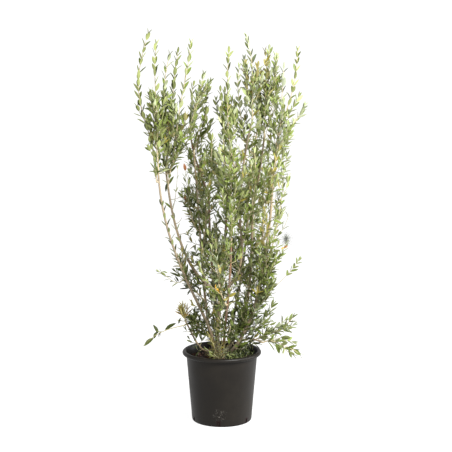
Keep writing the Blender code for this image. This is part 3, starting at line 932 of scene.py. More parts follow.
class Habit(Enum):
    """The ways in which the masses grow."""

    SPIRE = Growth(0.10, 0.46, 2.6, (2.0, 3.2), 0.24, 0.024, size=1.08)
    PLUME = Growth(0.08, 0.78, 3.0, (3.0, 4.6), 0.16, 0.021)
    BUSH = Growth(0.05, 0.86, 4.6, (1.3, 2.4), 0.45, 0.022)
    THIN = Growth(0.06, 0.40, 1.2, (2.4, 3.6), 0.08, 0.026)
    WAND = Growth(0.10, 0.60, 0.0, (1.0, 1.5), 0.0, 0.013, bare=0.03, size=0.95)
    FAN = Growth(0.02, 0.60, 3.5, (1.0, 1.7), 0.0, 0.014, bare=0.0, size=1.15)
    FULL = Growth(0.05, 0.96, 5.6, (1.2, 2.2), 0.50, 0.020)
    OPEN = Growth(0.10, 0.74, 2.8, (1.2, 2.0), 0.20, 0.022, size=1.05)
    SPARSE = Growth(0.30, 0.70, 1.0, (1.5, 2.5), 0.10, 0.030, bare=0.06)
    TRAIL = Growth(0.10, 0.60, 0.0, (1.0, 1.5), 0.0, 0.110, bare=0.08, size=0.6, thin=0.85)
    LOOSE = Growth(0.10, 0.74, 2.4, (1.2, 2.0), 0.0, 0.028)
    LIGHT = Growth(0.08, 0.78, 2.1, (2.4, 3.8), 0.10, 0.023)
    CROWN = Growth(0.02, 0.50, 4.2, (2.2, 3.4), 0.24, 0.023)
    WISP = Growth(0.06, 0.34, 1.6, (2.4, 3.6), 0.06, 0.018)
    SPRAY = Growth(0.10, 0.60, 0.0, (1.0, 1.5), 0.0, 0.016, bare=0.03, size=0.72, thin=0.55)
    ARCH = Growth(0.10, 0.60, 0.0, (1.0, 1.5), 0.0, 0.018, bare=0.135, size=0.8, thin=0.55)


@dataclass(frozen=True)
class Mass:
    """A foliage mass: its seat on a limb, its leader's bow and top, its width, shoots and habit."""

    host: str
    at: float
    bow: Place
    top: Place
    width: float
    shoots: int
    habit: Habit = Habit.BUSH


MASSES = {
    # the tall shoots, from left to right
    "crown_left_spire": Mass("stem_left_outer", 0.94, (-0.045, 0.01, 0.0), (-0.267, 0.0, 1.475), 0.03, 1,
        Habit.SPIRE),
    "crown_left_tall": Mass("stem_left_outer", 1.0, (-0.012, -0.01, 0.0), (-0.235, -0.05, 1.44), 0.05, 3,
        Habit.SPIRE),
    "crown_left_main": Mass("bough_left", 1.0, (-0.01, 0.0, 0.0), (-0.19, 0.03, 1.4), 0.052, 3,
        Habit.SPIRE),
    "crown_left_inner": Mass("bough_left", 0.86, (0.0, -0.015, 0.0), (-0.11, -0.02, 1.44), 0.052, 3,
        Habit.SPIRE),
    "crown_left_rear": Mass("bough_left", 0.93, (-0.005, 0.05, 0.0), (-0.165, 0.12, 1.415), 0.065, 2,
        Habit.WISP),
    "crown_mid_left": Mass("bough_left", 0.97, (0.015, -0.03, -0.02), (-0.06, -0.02, 1.325), 0.042, 2,
        Habit.PLUME),
    "crown_mid_tip": Mass("stem_mid_left", 1.0, (0.01, -0.01, 0.0), (-0.05, 0.02, 1.2), 0.055, 3,
        Habit.THIN),
    "crown_mid_rear": Mass("bough_back_left", 1.0, (-0.01, 0.01, 0.0), (-0.035, 0.14, 1.3), 0.065, 3,
        Habit.LIGHT),
    "crown_centre_left": Mass("bough_centre", 1.0, (0.0, 0.0, 0.0), (0.012, 0.04, 1.265), 0.058, 3,
        Habit.LIGHT),
    "crown_centre": Mass("bough_right_top", 0.35, (-0.03, -0.02, 0.0), (0.03, -0.05, 1.41), 0.045, 2,
        Habit.SPIRE),
    "crown_centre_rear": Mass("bough_back_right", 0.8, (-0.03, 0.0, 0.0), (0.07, 0.15, 1.355), 0.065, 3,
        Habit.THIN),
    "crown_top": Mass("bough_right_top", 1.0, (0.018, -0.01, 0.0), (0.088, -0.06, 1.46), 0.055, 3,
        Habit.SPIRE),
    "crown_right_main": Mass("bough_right_mid", 1.0, (0.0, 0.0, 0.0), (0.18, 0.05, 1.42), 0.06, 3,
        Habit.CROWN),
    "crown_right_rear": Mass("bough_back_right", 1.0, (0.02, 0.01, 0.0), (0.215, 0.15, 1.39), 0.07, 2,
        Habit.THIN),
    "crown_right_front": Mass("bough_right_outer", 0.8, (0.005, -0.04, 0.0), (0.225, -0.11, 1.355), 0.055,
        3, Habit.SPIRE),
    "crown_right_tall": Mass("bough_right_outer", 1.0, (0.025, 0.0, 0.0), (0.28, -0.03, 1.415), 0.045, 2,
        Habit.THIN),
    "crown_right_side": Mass("bough_right_outer", 0.9, (0.02, 0.02, -0.02), (0.308, 0.02, 1.215), 0.03, 1,
        Habit.WAND),
    # the middle of the shrub
    "mid_left": Mass("stem_mid_left", 0.62, (-0.02, 0.0, 0.0), (-0.118, 0.01, 0.94), 0.044, 2,
        Habit.LIGHT),
    "mid_left_front": Mass("stem_mid_left", 0.5, (0.01, -0.05, 0.0), (-0.032, -0.09, 1.1), 0.07, 3,
        Habit.PLUME),
    "mid_front": Mass("stem_front", 1.0, (0.0, -0.02, 0.0), (0.03, -0.15, 1.08), 0.085, 4, Habit.FULL),
    "mid_front_right": Mass("bough_right", 0.8, (0.02, -0.05, 0.0), (0.12, -0.12, 1.05), 0.07, 3,
        Habit.PLUME),
    "mid_right": Mass("stem_right_outer", 0.78, (0.01, -0.04, 0.0), (0.21, -0.11, 1.06), 0.055, 2,
        Habit.LIGHT),
    "mid_right_side": Mass("stem_right_outer", 0.62, (0.01, 0.01, 0.0), (0.238, 0.0, 0.985), 0.036, 2,
        Habit.SPARSE),
    "mid_back_left": Mass("stem_back", 0.8, (-0.03, 0.035, 0.0), (-0.075, 0.19, 1.08), 0.075, 3),
    "mid_back_right": Mass("stem_back_right", 0.8, (0.015, 0.045, 0.0), (0.14, 0.21, 1.05), 0.08, 2),
    # the lower shrub
    "low_left": Mass("stem_mid_left", 0.28, (-0.025, -0.02, -0.02), (-0.15, -0.005, 0.67), 0.045, 2),
    "low_left_sprig": Mass("stem_left_outer", 0.44, (-0.03, 0.0, -0.01), (-0.23, -0.035, 0.6), 0.02, 0,
        Habit.SPRAY),
    "low_front": Mass("stem_front", 0.5, (-0.02, -0.03, 0.0), (-0.02, -0.13, 0.76), 0.075, 3),
    "low_right": Mass("stem_right_outer", 0.38, (0.02, -0.01, 0.0), (0.165, -0.06, 0.7), 0.05, 3,
        Habit.FULL),
    "low_right_arch": Mass("stem_right_outer", 0.46, (0.02, 0.02, -0.02), (0.3, 0.0, 0.635), 0.03, 0,
        Habit.ARCH),
    "low_centre": Mass("stem_right", 0.55, (-0.03, -0.02, 0.0), (0.05, -0.01, 0.72), 0.055, 2,
        Habit.FULL),
    "low_back": Mass("stem_back", 0.4, (0.0, 0.04, 0.0), (-0.02, 0.2, 0.72), 0.08, 2),
    "low_back_right": Mass("stem_right", 0.5, (0.025, 0.04, 0.0), (0.15, 0.12, 0.76), 0.07, 2),
    # about the pot
    "foot_inner_left": Mass("stem_mid_left", 0.1, (-0.03, -0.03, 0.0), (-0.085, -0.045, 0.445), 0.04, 2),
    "foot_inner_right": Mass("stem_right", 0.16, (0.02, -0.03, 0.0), (0.085, -0.035, 0.5), 0.05, 2),
    "foot_front": Mass("stem_front", 0.2, (0.01, -0.02, 0.0), (0.03, -0.09, 0.41), 0.045, 2, Habit.OPEN),
    "foot_left": Mass("stem_left_low", 1.0, (0.0, 0.0, 0.0), (-0.15, -0.03, 0.46), 0.035, 2, Habit.FAN),
    "foot_left_trail": Mass("stem_left_low", 0.95, (-0.01, -0.025, 0.025), (-0.3, -0.04, 0.29), 0.035, 0,
        Habit.TRAIL),
    "foot_right": Mass("stem_low_right", 0.8, (0.02, 0.02, -0.02), (0.28, 0.02, 0.41), 0.045, 3,
        Habit.LOOSE),
    "foot_right_trail": Mass("stem_low_right", 1.0, (0.0, 0.0, 0.03), (0.305, -0.05, 0.255), 0.045, 2,
        Habit.LOOSE),
}


@dataclass
class Leaves:
    """Every leaf of the plant, gathered by tint and made closed spindle blades.

    Attributes:
        stations: shares of the length where a blade has a ring of four points.
        outline: powers of the distances from the root and from the tip that shape its outline.
        fold: how far the two halves rise from the midrib, as a share of the half width.
        least_droop: droops under this are taken as this, so that the arc has a radius.
        most: how many leaves go into one piece.
    """

    stations: tuple[float, ...] = (0.10, 0.32, 0.58, 0.84)
    outline: Span = (0.75, 0.85)
    fold: float = 0.34
    thickness: float = 0.0005
    least_droop: float = 0.02
    most: int = 4800
    roughness: Span = (0.44, 0.65)
    rows: dict[Tint, list[Array]] = field(default_factory=lambda: {tint: [] for tint in Tint})
    hosts: dict[Tint, set[str]] = field(default_factory=lambda: {tint: set() for tint in Tint})

    def add(self, tint: Tint, host: str, root: Array, direction: Array, face: Array,
            length: float, width: float, droop: float) -> None:
        """Note one leaf.

        Args:
            tint: its colour.
            host: the mass or limb that it grows on, or "" for none.
            root: where its stalk starts.
            direction: where it points.
            face: roughly where its upper side looks.
            length: from root to tip.
            width: at its widest.
            droop: the angle by which its line bends back over its length, in radians.
        """
        self.rows[tint].append(np.concatenate((root, direction, face, (length, width, droop))))
        self.hosts[tint].add(host)

    def half_widths(self) -> Array:
        """The outline at the stations: x^a (1 - x)^b, scaled to one half at its widest.

        Returns:
            Half the width at each station, as a share of the leaf's width.
        """
        rise, fall = self.outline
        x = np.linspace(0.01, 0.99, 99)
        top = (x ** rise * (1 - x) ** fall).max()
        s = np.array(self.stations)
        return 0.5 * s ** rise * (1 - s) ** fall / top

    def blades(self, rows: Array) -> tuple[Array, list[Array]]:
        """Points and faces of many blades.

        A blade's line is an arc: at share s it has gone length sin(droop s) / droop on and
        length (1 - cos(droop s)) / droop back. Across it, each station has a left edge, the midrib's
        upper and lower face, and a right edge, with the edges raised by the fold.

        Args:
            rows: one leaf in each row, as add() writes them.

        Returns:
            The points, and the faces as upper quads, lower quads, upper and lower end triangles.
        """
        root, direction, face = rows[:, 0:3], unit(rows[:, 3:6]), rows[:, 6:9]
        length, width, droop = rows[:, 9:10], rows[:, 10:11], rows[:, 11:12]
        droop = np.where(np.abs(droop) < self.least_droop, self.least_droop, droop)
        normal = unit(face - direction * (face * direction).sum(1, keepdims=True))
        across = np.cross(direction, normal)
        share = np.array((0.0, *self.stations, 1.0))[None, :]
        go = (length * np.sin(droop * share) / droop)[..., None]
        back = (length * (1 - np.cos(droop * share)) / droop)[..., None]
        line = root[:, None] + direction[:, None] * go - normal[:, None] * back
        half = (width * self.half_widths()[None])[..., None]
        middle = line[:, 1:-1]
        rib = normal[:, None] * (self.thickness / 2)
        raised = normal[:, None] * half * self.fold
        ring = np.stack((middle - across[:, None] * half + raised, middle + rib,
                         middle + across[:, None] * half + raised, middle - rib), axis=2)
        leaves, count = len(rows), len(self.stations)
        points = np.concatenate((ring.reshape(leaves, -1, 3), line[:, :1], line[:, -1:]), axis=1)
        block = count * 4 + 2
        quads = ring_faces(count, 4).reshape(count - 1, 4, 4)
        foot = end_faces(4, 0, block - 2, True)
        tip = end_faces(4, (count - 1) * 4, block - 1, False)
        kinds = (quads[:, :2].reshape(-1, 4), quads[:, 2:].reshape(-1, 4),
                 np.concatenate((foot[:2], tip[:2])), np.concatenate((foot[2:], tip[2:])))
        faces = [repeated(kind, leaves, block)[:, ::-1] for kind in kinds]
        return points.reshape(-1, 3), faces

    def build(self) -> None:
        """Make the pieces of each tint."""
        for tint, rows in self.rows.items():
            if not rows:
                continue
            name, upper, under = tint.value
            finishes = [PlainFinish(f"leaf_{name}", upper, self.roughness[0]).material(),
                        PlainFinish(f"leaf_{name}_under", under, self.roughness[1]).material()]
            for number, first in enumerate(range(0, len(rows), self.most)):
                points, faces = self.blades(np.array(rows[first:first + self.most]))
                shape = Shape()
                shape.add(points, faces, finish=(0, 1, 0, 1))
                piece = shape.piece(f"leaves_{name}_{number + 1}", finishes, Slot.LEAF, sharp=50)
                nodes = sorted(host for host in self.hosts[tint] if host in MASSES)
                if nodes:
                    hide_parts(*(f"foliage_{node}" for node in nodes))


# how far a leader wanders off its curve, at its middle and at its quarters
SWAY = {
    "crown_left_spire": ((0.006, 0.0, 0.0), (0.021, 0.0, 0.0)),
    "crown_right_side": ((-0.014, 0.0, 0.014), (0.0, 0.0, 0.0)),
    "mid_right": ((-0.036, 0.0, 0.0), (0.0, 0.0, 0.0)),
    "foot_left_trail": ((0.0, 0.0, 0.004), (0.0, 0.0, 0.0)),
    "low_left_sprig": ((0.0, 0.0, -0.006), (0.0, 0.0, -0.010)),
    "foot_right_trail": ((0.0, 0.0, 0.004), (0.0, 0.0, 0.006)),
    "crown_left_main": ((-0.004, 0.0, 0.0), (0.006, 0.0, 0.0)),
    "crown_centre": ((0.006, 0.0, 0.0), (0.004, 0.0, 0.0)),
}

# tints of the masses whose colour stands out, dealt out to their shoots in turn
OWN_TINTS = {
    "foot_left": (Tint.OLIVE, Tint.BRONZE, Tint.OLIVE, Tint.BRONZE),
    "foot_left_trail": (Tint.DARK,),
    "foot_right_trail": (Tint.MID, Tint.DEEP, Tint.BRIGHT, Tint.MID),
    "foot_right": (Tint.MID, Tint.BRIGHT, Tint.GREY, Tint.MID),
    "low_right_arch": (Tint.MID,),
    "low_left_sprig": (Tint.DEEP,),
    "crown_right_tall": (Tint.MID, Tint.BRIGHT),
    "crown_left_rear": (Tint.DEEP, Tint.DARK, Tint.BRONZE, Tint.DEEP),
    "crown_left_spire": (Tint.MID,),
    "crown_left_tall": (Tint.MID, Tint.MID, Tint.DEEP),
}

# width for length of the leaves, for masses where it isn't that of their height
BROAD_LEAVES = {"foot_right_trail": 0.33, "foot_right": 0.30, "low_right_arch": 0.40,
                "foot_left": 0.22, "crown_right_side": 0.36, "low_left_sprig": 0.27}


@dataclass(frozen=True)
class Sprigs:
    """Short leafy shoots straight from a limb. A range gives the least and the most.

    Attributes:
        spread: how far they reach out, for their length.
        climb: how far they reach on and up, for their length.
        bare: length of the foot without leaves.
    """

    host: str
    low: float
    high: float
    count: int
    length: float
    lengths: Span = (0.55, 1.1)
    spread: float = 0.74
    climb: float = 0.62
    radii: Span = (0.00144, 0.0005)
    gap: float = 0.016
    bare: float = 0.010
    leaves: Span = (0.026, 0.036)
    opening: float = 0.90
    slender: Span = (0.24, 0.36)


SPRIGS = tuple(Sprigs(*row) for row in (
    ("stem_main", 0.14, 0.95, 24, 0.05),
    ("stem_left_low", 0.25, 0.92, 7, 0.035),
    ("stem_left_outer", 0.06, 0.3, 11, 0.045),
    ("stem_left_outer", 0.93, 1.0, 3, 0.05),
    ("stem_mid_left", 0.1, 0.34, 8, 0.052),
    ("stem_mid_left", 0.36, 0.74, 17, 0.065),
    ("stem_mid_left", 0.82, 1.0, 3, 0.04),
    ("stem_right", 0.1, 0.92, 24, 0.065),
    ("stem_right_outer", 0.06, 0.34, 16, 0.074),
    ("stem_right_outer", 0.36, 0.72, 24, 0.065),
    ("stem_right_outer", 0.72, 1.0, 13, 0.062),
    ("stem_low_right", 0.35, 0.95, 6, 0.04),
    ("stem_back", 0.12, 0.9, 22, 0.065),
    ("stem_back_right", 0.12, 0.9, 22, 0.065),
    ("stem_front", 0.12, 0.92, 18, 0.055),
    ("bough_left", 0.06, 0.34, 5, 0.045),
    ("bough_left", 0.96, 1.0, 2, 0.05),
    ("bough_right", 0.1, 0.9, 10, 0.06),
    ("bough_centre", 0.08, 0.96, 24, 0.065),
    ("bough_right_top", 0.1, 0.98, 24, 0.065),
    ("bough_right_mid", 0.1, 1.0, 18, 0.055),
    ("bough_right_outer", 0.05, 0.35, 4, 0.035),
    ("bough_right_outer", 0.35, 1.0, 14, 0.06),
    ("bough_back_left", 0.1, 0.95, 14, 0.065),
    ("bough_back_right", 0.1, 0.9, 12, 0.06),
))


@dataclass(frozen=True)
class Twig:
    """One thin twig of its own, with few leaves.

    Attributes:
        bow: how far its second half bows out.
        missing: share of its leaves that have dropped.
    """

    host: str
    at: float
    bow: Place
    tip: Place
    gap: float
    bare: float
    size: float
    tint: Tint = Tint.MID
    missing: float = 0.1
    opening: float = 0.75


TWIGS = (
    Twig("bough_left", 0.6, (0.0, 0.0, -0.01), (-0.15, 0.02, 0.775), 0.02, 0.01, 0.022, missing=0.5),
    Twig("bough_left", 0.78, (0.0, 0.0, -0.01), (-0.155, 0.01, 0.858), 0.018, 0.012, 0.02, missing=0.4),
    Twig("bough_left", 0.52, (0.0, -0.01, 0.0), (-0.118, -0.01, 0.725), 0.024, 0.02, 0.03, missing=0.3),
    Twig("bough_left", 0.7, (0.006, 0.0, 0.0), (-0.166, 0.02, 0.958), 0.06, 0.06, 0.024, missing=0.4),
    Twig("bough_right_mid", 0.96, (0.02, 0.0, 0.0), (0.16, 0.02, 1.388), 0.021, 0.15, 0.034, Tint.OLIVE),
    Twig("bough_right_mid", 0.9, (0.03, 0.0, 0.0), (0.198, 0.01, 1.372), 0.022, 0.16, 0.034, Tint.BRIGHT),
    Twig("bough_centre", 0.7, (-0.02, 0.0, 0.0), (-0.054, 0.0, 1.135), 0.018, 0.04, 0.034, Tint.DEEP),
    Twig("bough_centre", 0.6, (-0.02, 0.0, 0.0), (-0.04, 0.05, 1.07), 0.018, 0.04, 0.034),
    Twig("bough_back_left", 0.9, (0.02, 0.0, 0.0), (-0.062, 0.08, 1.17), 0.02, 0.03, 0.034),
    Twig("bough_centre", 1.0, (0.0, 0.0, 0.0), (-0.004, 0.01, 1.245), 0.022, 0.06, 0.034),
    Twig("bough_centre", 0.94, (0.01, 0.0, 0.0), (0.036, 0.0, 1.215), 0.022, 0.05, 0.034),
    Twig("bough_right_outer", 0.62, (0.02, 0.0, 0.02), (0.246, -0.05, 1.085), 0.02, 0.02, 0.036,
        Tint.BRIGHT),
    Twig("bough_right_outer", 0.4, (0.02, 0.0, 0.02), (0.24, -0.06, 1.01), 0.02, 0.02, 0.036, Tint.FRESH),
    Twig("bough_right_outer", 0.8, (0.02, 0.0, 0.02), (0.262, -0.04, 1.13), 0.02, 0.02, 0.034,
        Tint.BRIGHT),
    Twig("stem_mid_left", 0.8, (-0.01, 0.0, 0.0), (-0.137, 0.035, 0.95), 0.03, 0.05, 0.022, missing=0.7),
    Twig("stem_mid_left", 0.72, (-0.01, 0.0, 0.0), (-0.14, 0.03, 0.862), 0.022, 0.03, 0.024, Tint.DEEP,
        0.3),
    Twig("stem_right_outer", 0.14, (0.02, 0.0, -0.02), (0.19, -0.05, 0.452), 0.02, 0.03, 0.04, Tint.DEEP),
    Twig("stem_right_outer", 0.22, (0.01, 0.0, -0.02), (0.176, -0.08, 0.412), 0.018, 0.03, 0.04),
    Twig("stem_right_outer", 0.18, (0.01, 0.0, 0.0), (0.172, -0.04, 0.52), 0.018, 0.02, 0.04),
    Twig("stem_right_outer", 0.26, (0.01, 0.0, 0.0), (0.188, -0.07, 0.545), 0.018, 0.02, 0.038,
        Tint.BRIGHT),
    Twig("stem_right", 0.3, (0.01, 0.0, 0.0), (0.15, -0.02, 0.49), 0.018, 0.02, 0.038, Tint.DEEP),
    Twig("stem_right_outer", 0.58, (0.02, 0.0, -0.02), (0.238, -0.03, 0.69), 0.016, 0.04, 0.032,
        Tint.BRIGHT, 0.2),
    Twig("stem_right_outer", 0.8, (0.02, 0.0, -0.02), (0.25, -0.03, 0.8), 0.024, 0.05, 0.032, Tint.DEEP,
        0.5),
    Twig("bough_right_outer", 0.12, (0.02, 0.0, -0.02), (0.246, -0.03, 0.925), 0.022, 0.03, 0.036,
        Tint.BRIGHT, 0.2),
    Twig("stem_low_right", 0.9, (0.01, 0.0, 0.01), (0.215, -0.03, 0.29), 0.02, 0.03, 0.044, Tint.BRIGHT),
    Twig("stem_low_right", 0.55, (0.0, 0.0, 0.01), (0.178, -0.04, 0.375), 0.02, 0.025, 0.04),
)


@dataclass(frozen=True)
class StrayLeaf:
    """A single leaf that stands out.

    Attributes:
        droop: how far it bends back over its length, in radians.
    """

    root: Place
    direction: Place
    length: float
    slender: float
    tint: Tint
    droop: float = 0.5


STRAY_LEAVES = tuple(StrayLeaf(*row) for row in (
    ((-0.024, -0.062, 0.534), (0.45, -0.3, -0.7), 0.04, 0.46, Tint.YELLOW),
    ((-0.016, -0.064, 0.516), (0.9, -0.2, 0.1), 0.028, 0.44, Tint.YELLOW),
    ((0.218, -0.05, 0.665), (0.88, -0.1, 0.48), 0.03, 0.26, Tint.YELLOW),
    ((0.232, -0.053, 0.674), (0.88, -0.1, 0.42), 0.016, 0.42, Tint.RUST),
    ((-0.137, 0.035, 0.95), (-0.05, -0.2, 0.6), 0.03, 0.42, Tint.RUST),
    ((-0.14, 0.03, 0.862), (0.1, -0.3, -0.6), 0.022, 0.45, Tint.RUST),
    ((-0.13, 0.032, 0.838), (-0.4, -0.3, -0.4), 0.018, 0.4, Tint.BRONZE),
    ((-0.205, 0.036, 0.905), (-0.15, -0.2, -0.6), 0.036, 0.27, Tint.DARK),
    ((-0.213, -0.046, 0.357), (0.75, -0.1, 0.66), 0.05, 0.32, Tint.DARK),
    ((-0.162, -0.04, 0.38), (0.22, -0.15, 0.96), 0.025, 0.3, Tint.DARK),
    ((-0.24, -0.046, 0.344), (-0.32, -0.1, 0.95), 0.039, 0.4, Tint.DARK),
    ((-0.226, -0.045, 0.353), (-0.64, -0.1, -0.76), 0.027, 0.34, Tint.DARK),
    ((-0.243, -0.046, 0.35), (-0.52, -0.1, -0.8), 0.03, 0.46, Tint.DEEP),
    ((-0.256, -0.046, 0.326), (-0.84, -0.1, -0.52), 0.049, 0.36, Tint.DEEP),
    ((0.02, -0.03, 0.95), (0.2, -0.5, 0.4), 0.024, 0.38, Tint.RUST),
    ((-0.188, -0.012, 0.551), (-0.93, -0.1, 0.38), 0.032, 0.24, Tint.DEEP),
    ((-0.169, -0.008, 0.559), (-0.86, -0.1, 0.51), 0.03, 0.24, Tint.DEEP),
    ((-0.163, -0.006, 0.534), (-0.4, -0.1, 0.91), 0.026, 0.3, Tint.DARK),
    ((-0.203, -0.016, 0.569), (-0.89, -0.1, 0.45), 0.023, 0.26, Tint.MID),
    ((0.203, -0.04, 0.625), (0.68, -0.1, 0.73), 0.042, 0.26, Tint.DEEP),
    ((0.184, -0.04, 0.554), (0.51, -0.1, -0.86), 0.028, 0.34, Tint.GREY),
    ((0.135, -0.042, 0.418), (0.98, -0.1, 0.17), 0.045, 0.25, Tint.DEEP),
    ((0.203, -0.046, 0.306), (0.44, -0.1, -0.9), 0.045, 0.4, Tint.DEEP),
    ((0.156, -0.04, 0.384), (0.33, -0.1, -0.95), 0.028, 0.34, Tint.MID),
    ((0.25, -0.046, 0.29), (0.29, -0.1, -0.96), 0.034, 0.22, Tint.MID),
))

# tips of the shoots that come up from the compost at the front
BASAL_SHOOTS = (
    (-0.048, -0.08, 0.345), (-0.03, -0.078, 0.315), (-0.058, -0.07, 0.29), (-0.012, -0.085, 0.3),
    (0.016, -0.082, 0.292), (0.034, -0.078, 0.272), (-0.04, -0.088, 0.272), (0.004, -0.088, 0.33),
    (-0.02, -0.07, 0.35), (0.022, -0.07, 0.33),
)


@dataclass(frozen=True)
class LimbLeaves:
    """A thin row of leaves straight on a limb."""

    host: str
    low: float
    high: float
    gap: float
    tint: Tint
    points: int = 40
    size: float = 0.033
    opening: float = 0.66
    slender: float = 0.31
    missing: float = 0.08


LIMB_LEAVES = (
    LimbLeaves("stem_left_outer", 0.4, 0.84, 0.026, Tint.DEEP),
    LimbLeaves("bough_left", 0.36, 0.78, 0.04, Tint.MID),
)


@dataclass(frozen=True)
class TintRule:
    """How tints are dealt out, by a sum of where a spray stands and a random part. The sum paints light
    on the right side and shade inside the shrub.

    Attributes:
        steps: the sum above which each tint comes, from the lightest on.
    """

    middle: float = 0.95
    climb: float = 0.95
    span: float = 0.5
    # painted light: the right side, where the key light falls, gets lighter tints
    right: float = 1.3
    # painted shade: sprays inside the shrub get darker tints, those at the outside lighter
    outer: float = 0.35
    spread: float = 0.55
    grey: float = 0.08
    olive: float = 0.09
    steps: tuple[tuple[float, Tint], ...] = (
        (0.95, Tint.FRESH), (0.32, Tint.BRIGHT), (-0.28, Tint.MID), (-0.85, Tint.DEEP))

    def pick(self, place: Array, outward: float, rng: Draws) -> Tint:
        """Pick a tint: fresher high up and deeper low; lighter to the right and darker inside, as painted
        light and painted shade.

        Args:
            place: where the spray or leaf is.
            outward: how far out its shoot ends, from -0.5 in the middle to 0.5 at the outside.
            rng: the random draws.

        Returns:
            The tint.
        """
        # painted light to the right and painted shade inside, on top of fresher growth high up
        light = (self.climb * (place[2] - self.middle) / self.span + self.right * place[0]
                 + self.outer * outward + rng.normal(0.0, self.spread))
        if rng.random() < self.grey:
            return Tint.GREY
        if rng.random() < self.olive:
            return Tint.OLIVE
        return next((tint for limit, tint in self.steps if light > limit), Tint.DARK)


@dataclass(frozen=True)
class PairRule:
    """How pairs of leaves are set on a shoot. A range gives the least and the most.

    Attributes:
        place: where a pair stands within its own part of the shoot.
        closing: how much less leaves open at the tip than at the foot, in radians.
        outside: distance from the middle of the plant that counts as its outside, where the painted shade
            of the inside has faded out.
    """

    place: float = 0.35
    place_spread: float = 0.12
    turn_spread: float = 0.3
    young: float = 0.85
    young_part: float = 0.15
    young_loss: float = 0.22
    closing: float = 0.22
    angle_spread: float = 0.12
    face_lift: float = 0.2
    face_spread: float = 0.2
    lengths: Span = (0.82, 1.14)
    widths: Span = (0.84, 1.14)
    droops: Span = (-0.25, 0.5)
    same_tint: float = 0.62
    seat: float = 0.6
    tip_splay: float = 0.26
    tip_lift: float = 0.3
    tip_length: float = 0.78
    tip_width: float = 0.85
    tip_droop: float = 0.2
    heights: Span = (0.7, 1.2)
    slender: Span = (0.26, 0.37)
    outside: float = 0.16


class Wood(Enum):
    """The kinds of twig: name, sides of the tube, and the finish's name, colour and roughness."""

    LEADER = ("leader", 7, "twig_tan", 0xA39679, 0.6)
    SIDE = ("side", 5, "twig_olive", 0x918A68, 0.6)
    TWIGLET = ("twiglet", 4, "twig_young", 0x8D9064, 0.55)


def between(height: float, heights: Span, values: Span) -> float:
    """A value that goes evenly from the first to the second between two heights."""
    return float(np.interp(height, heights, values))


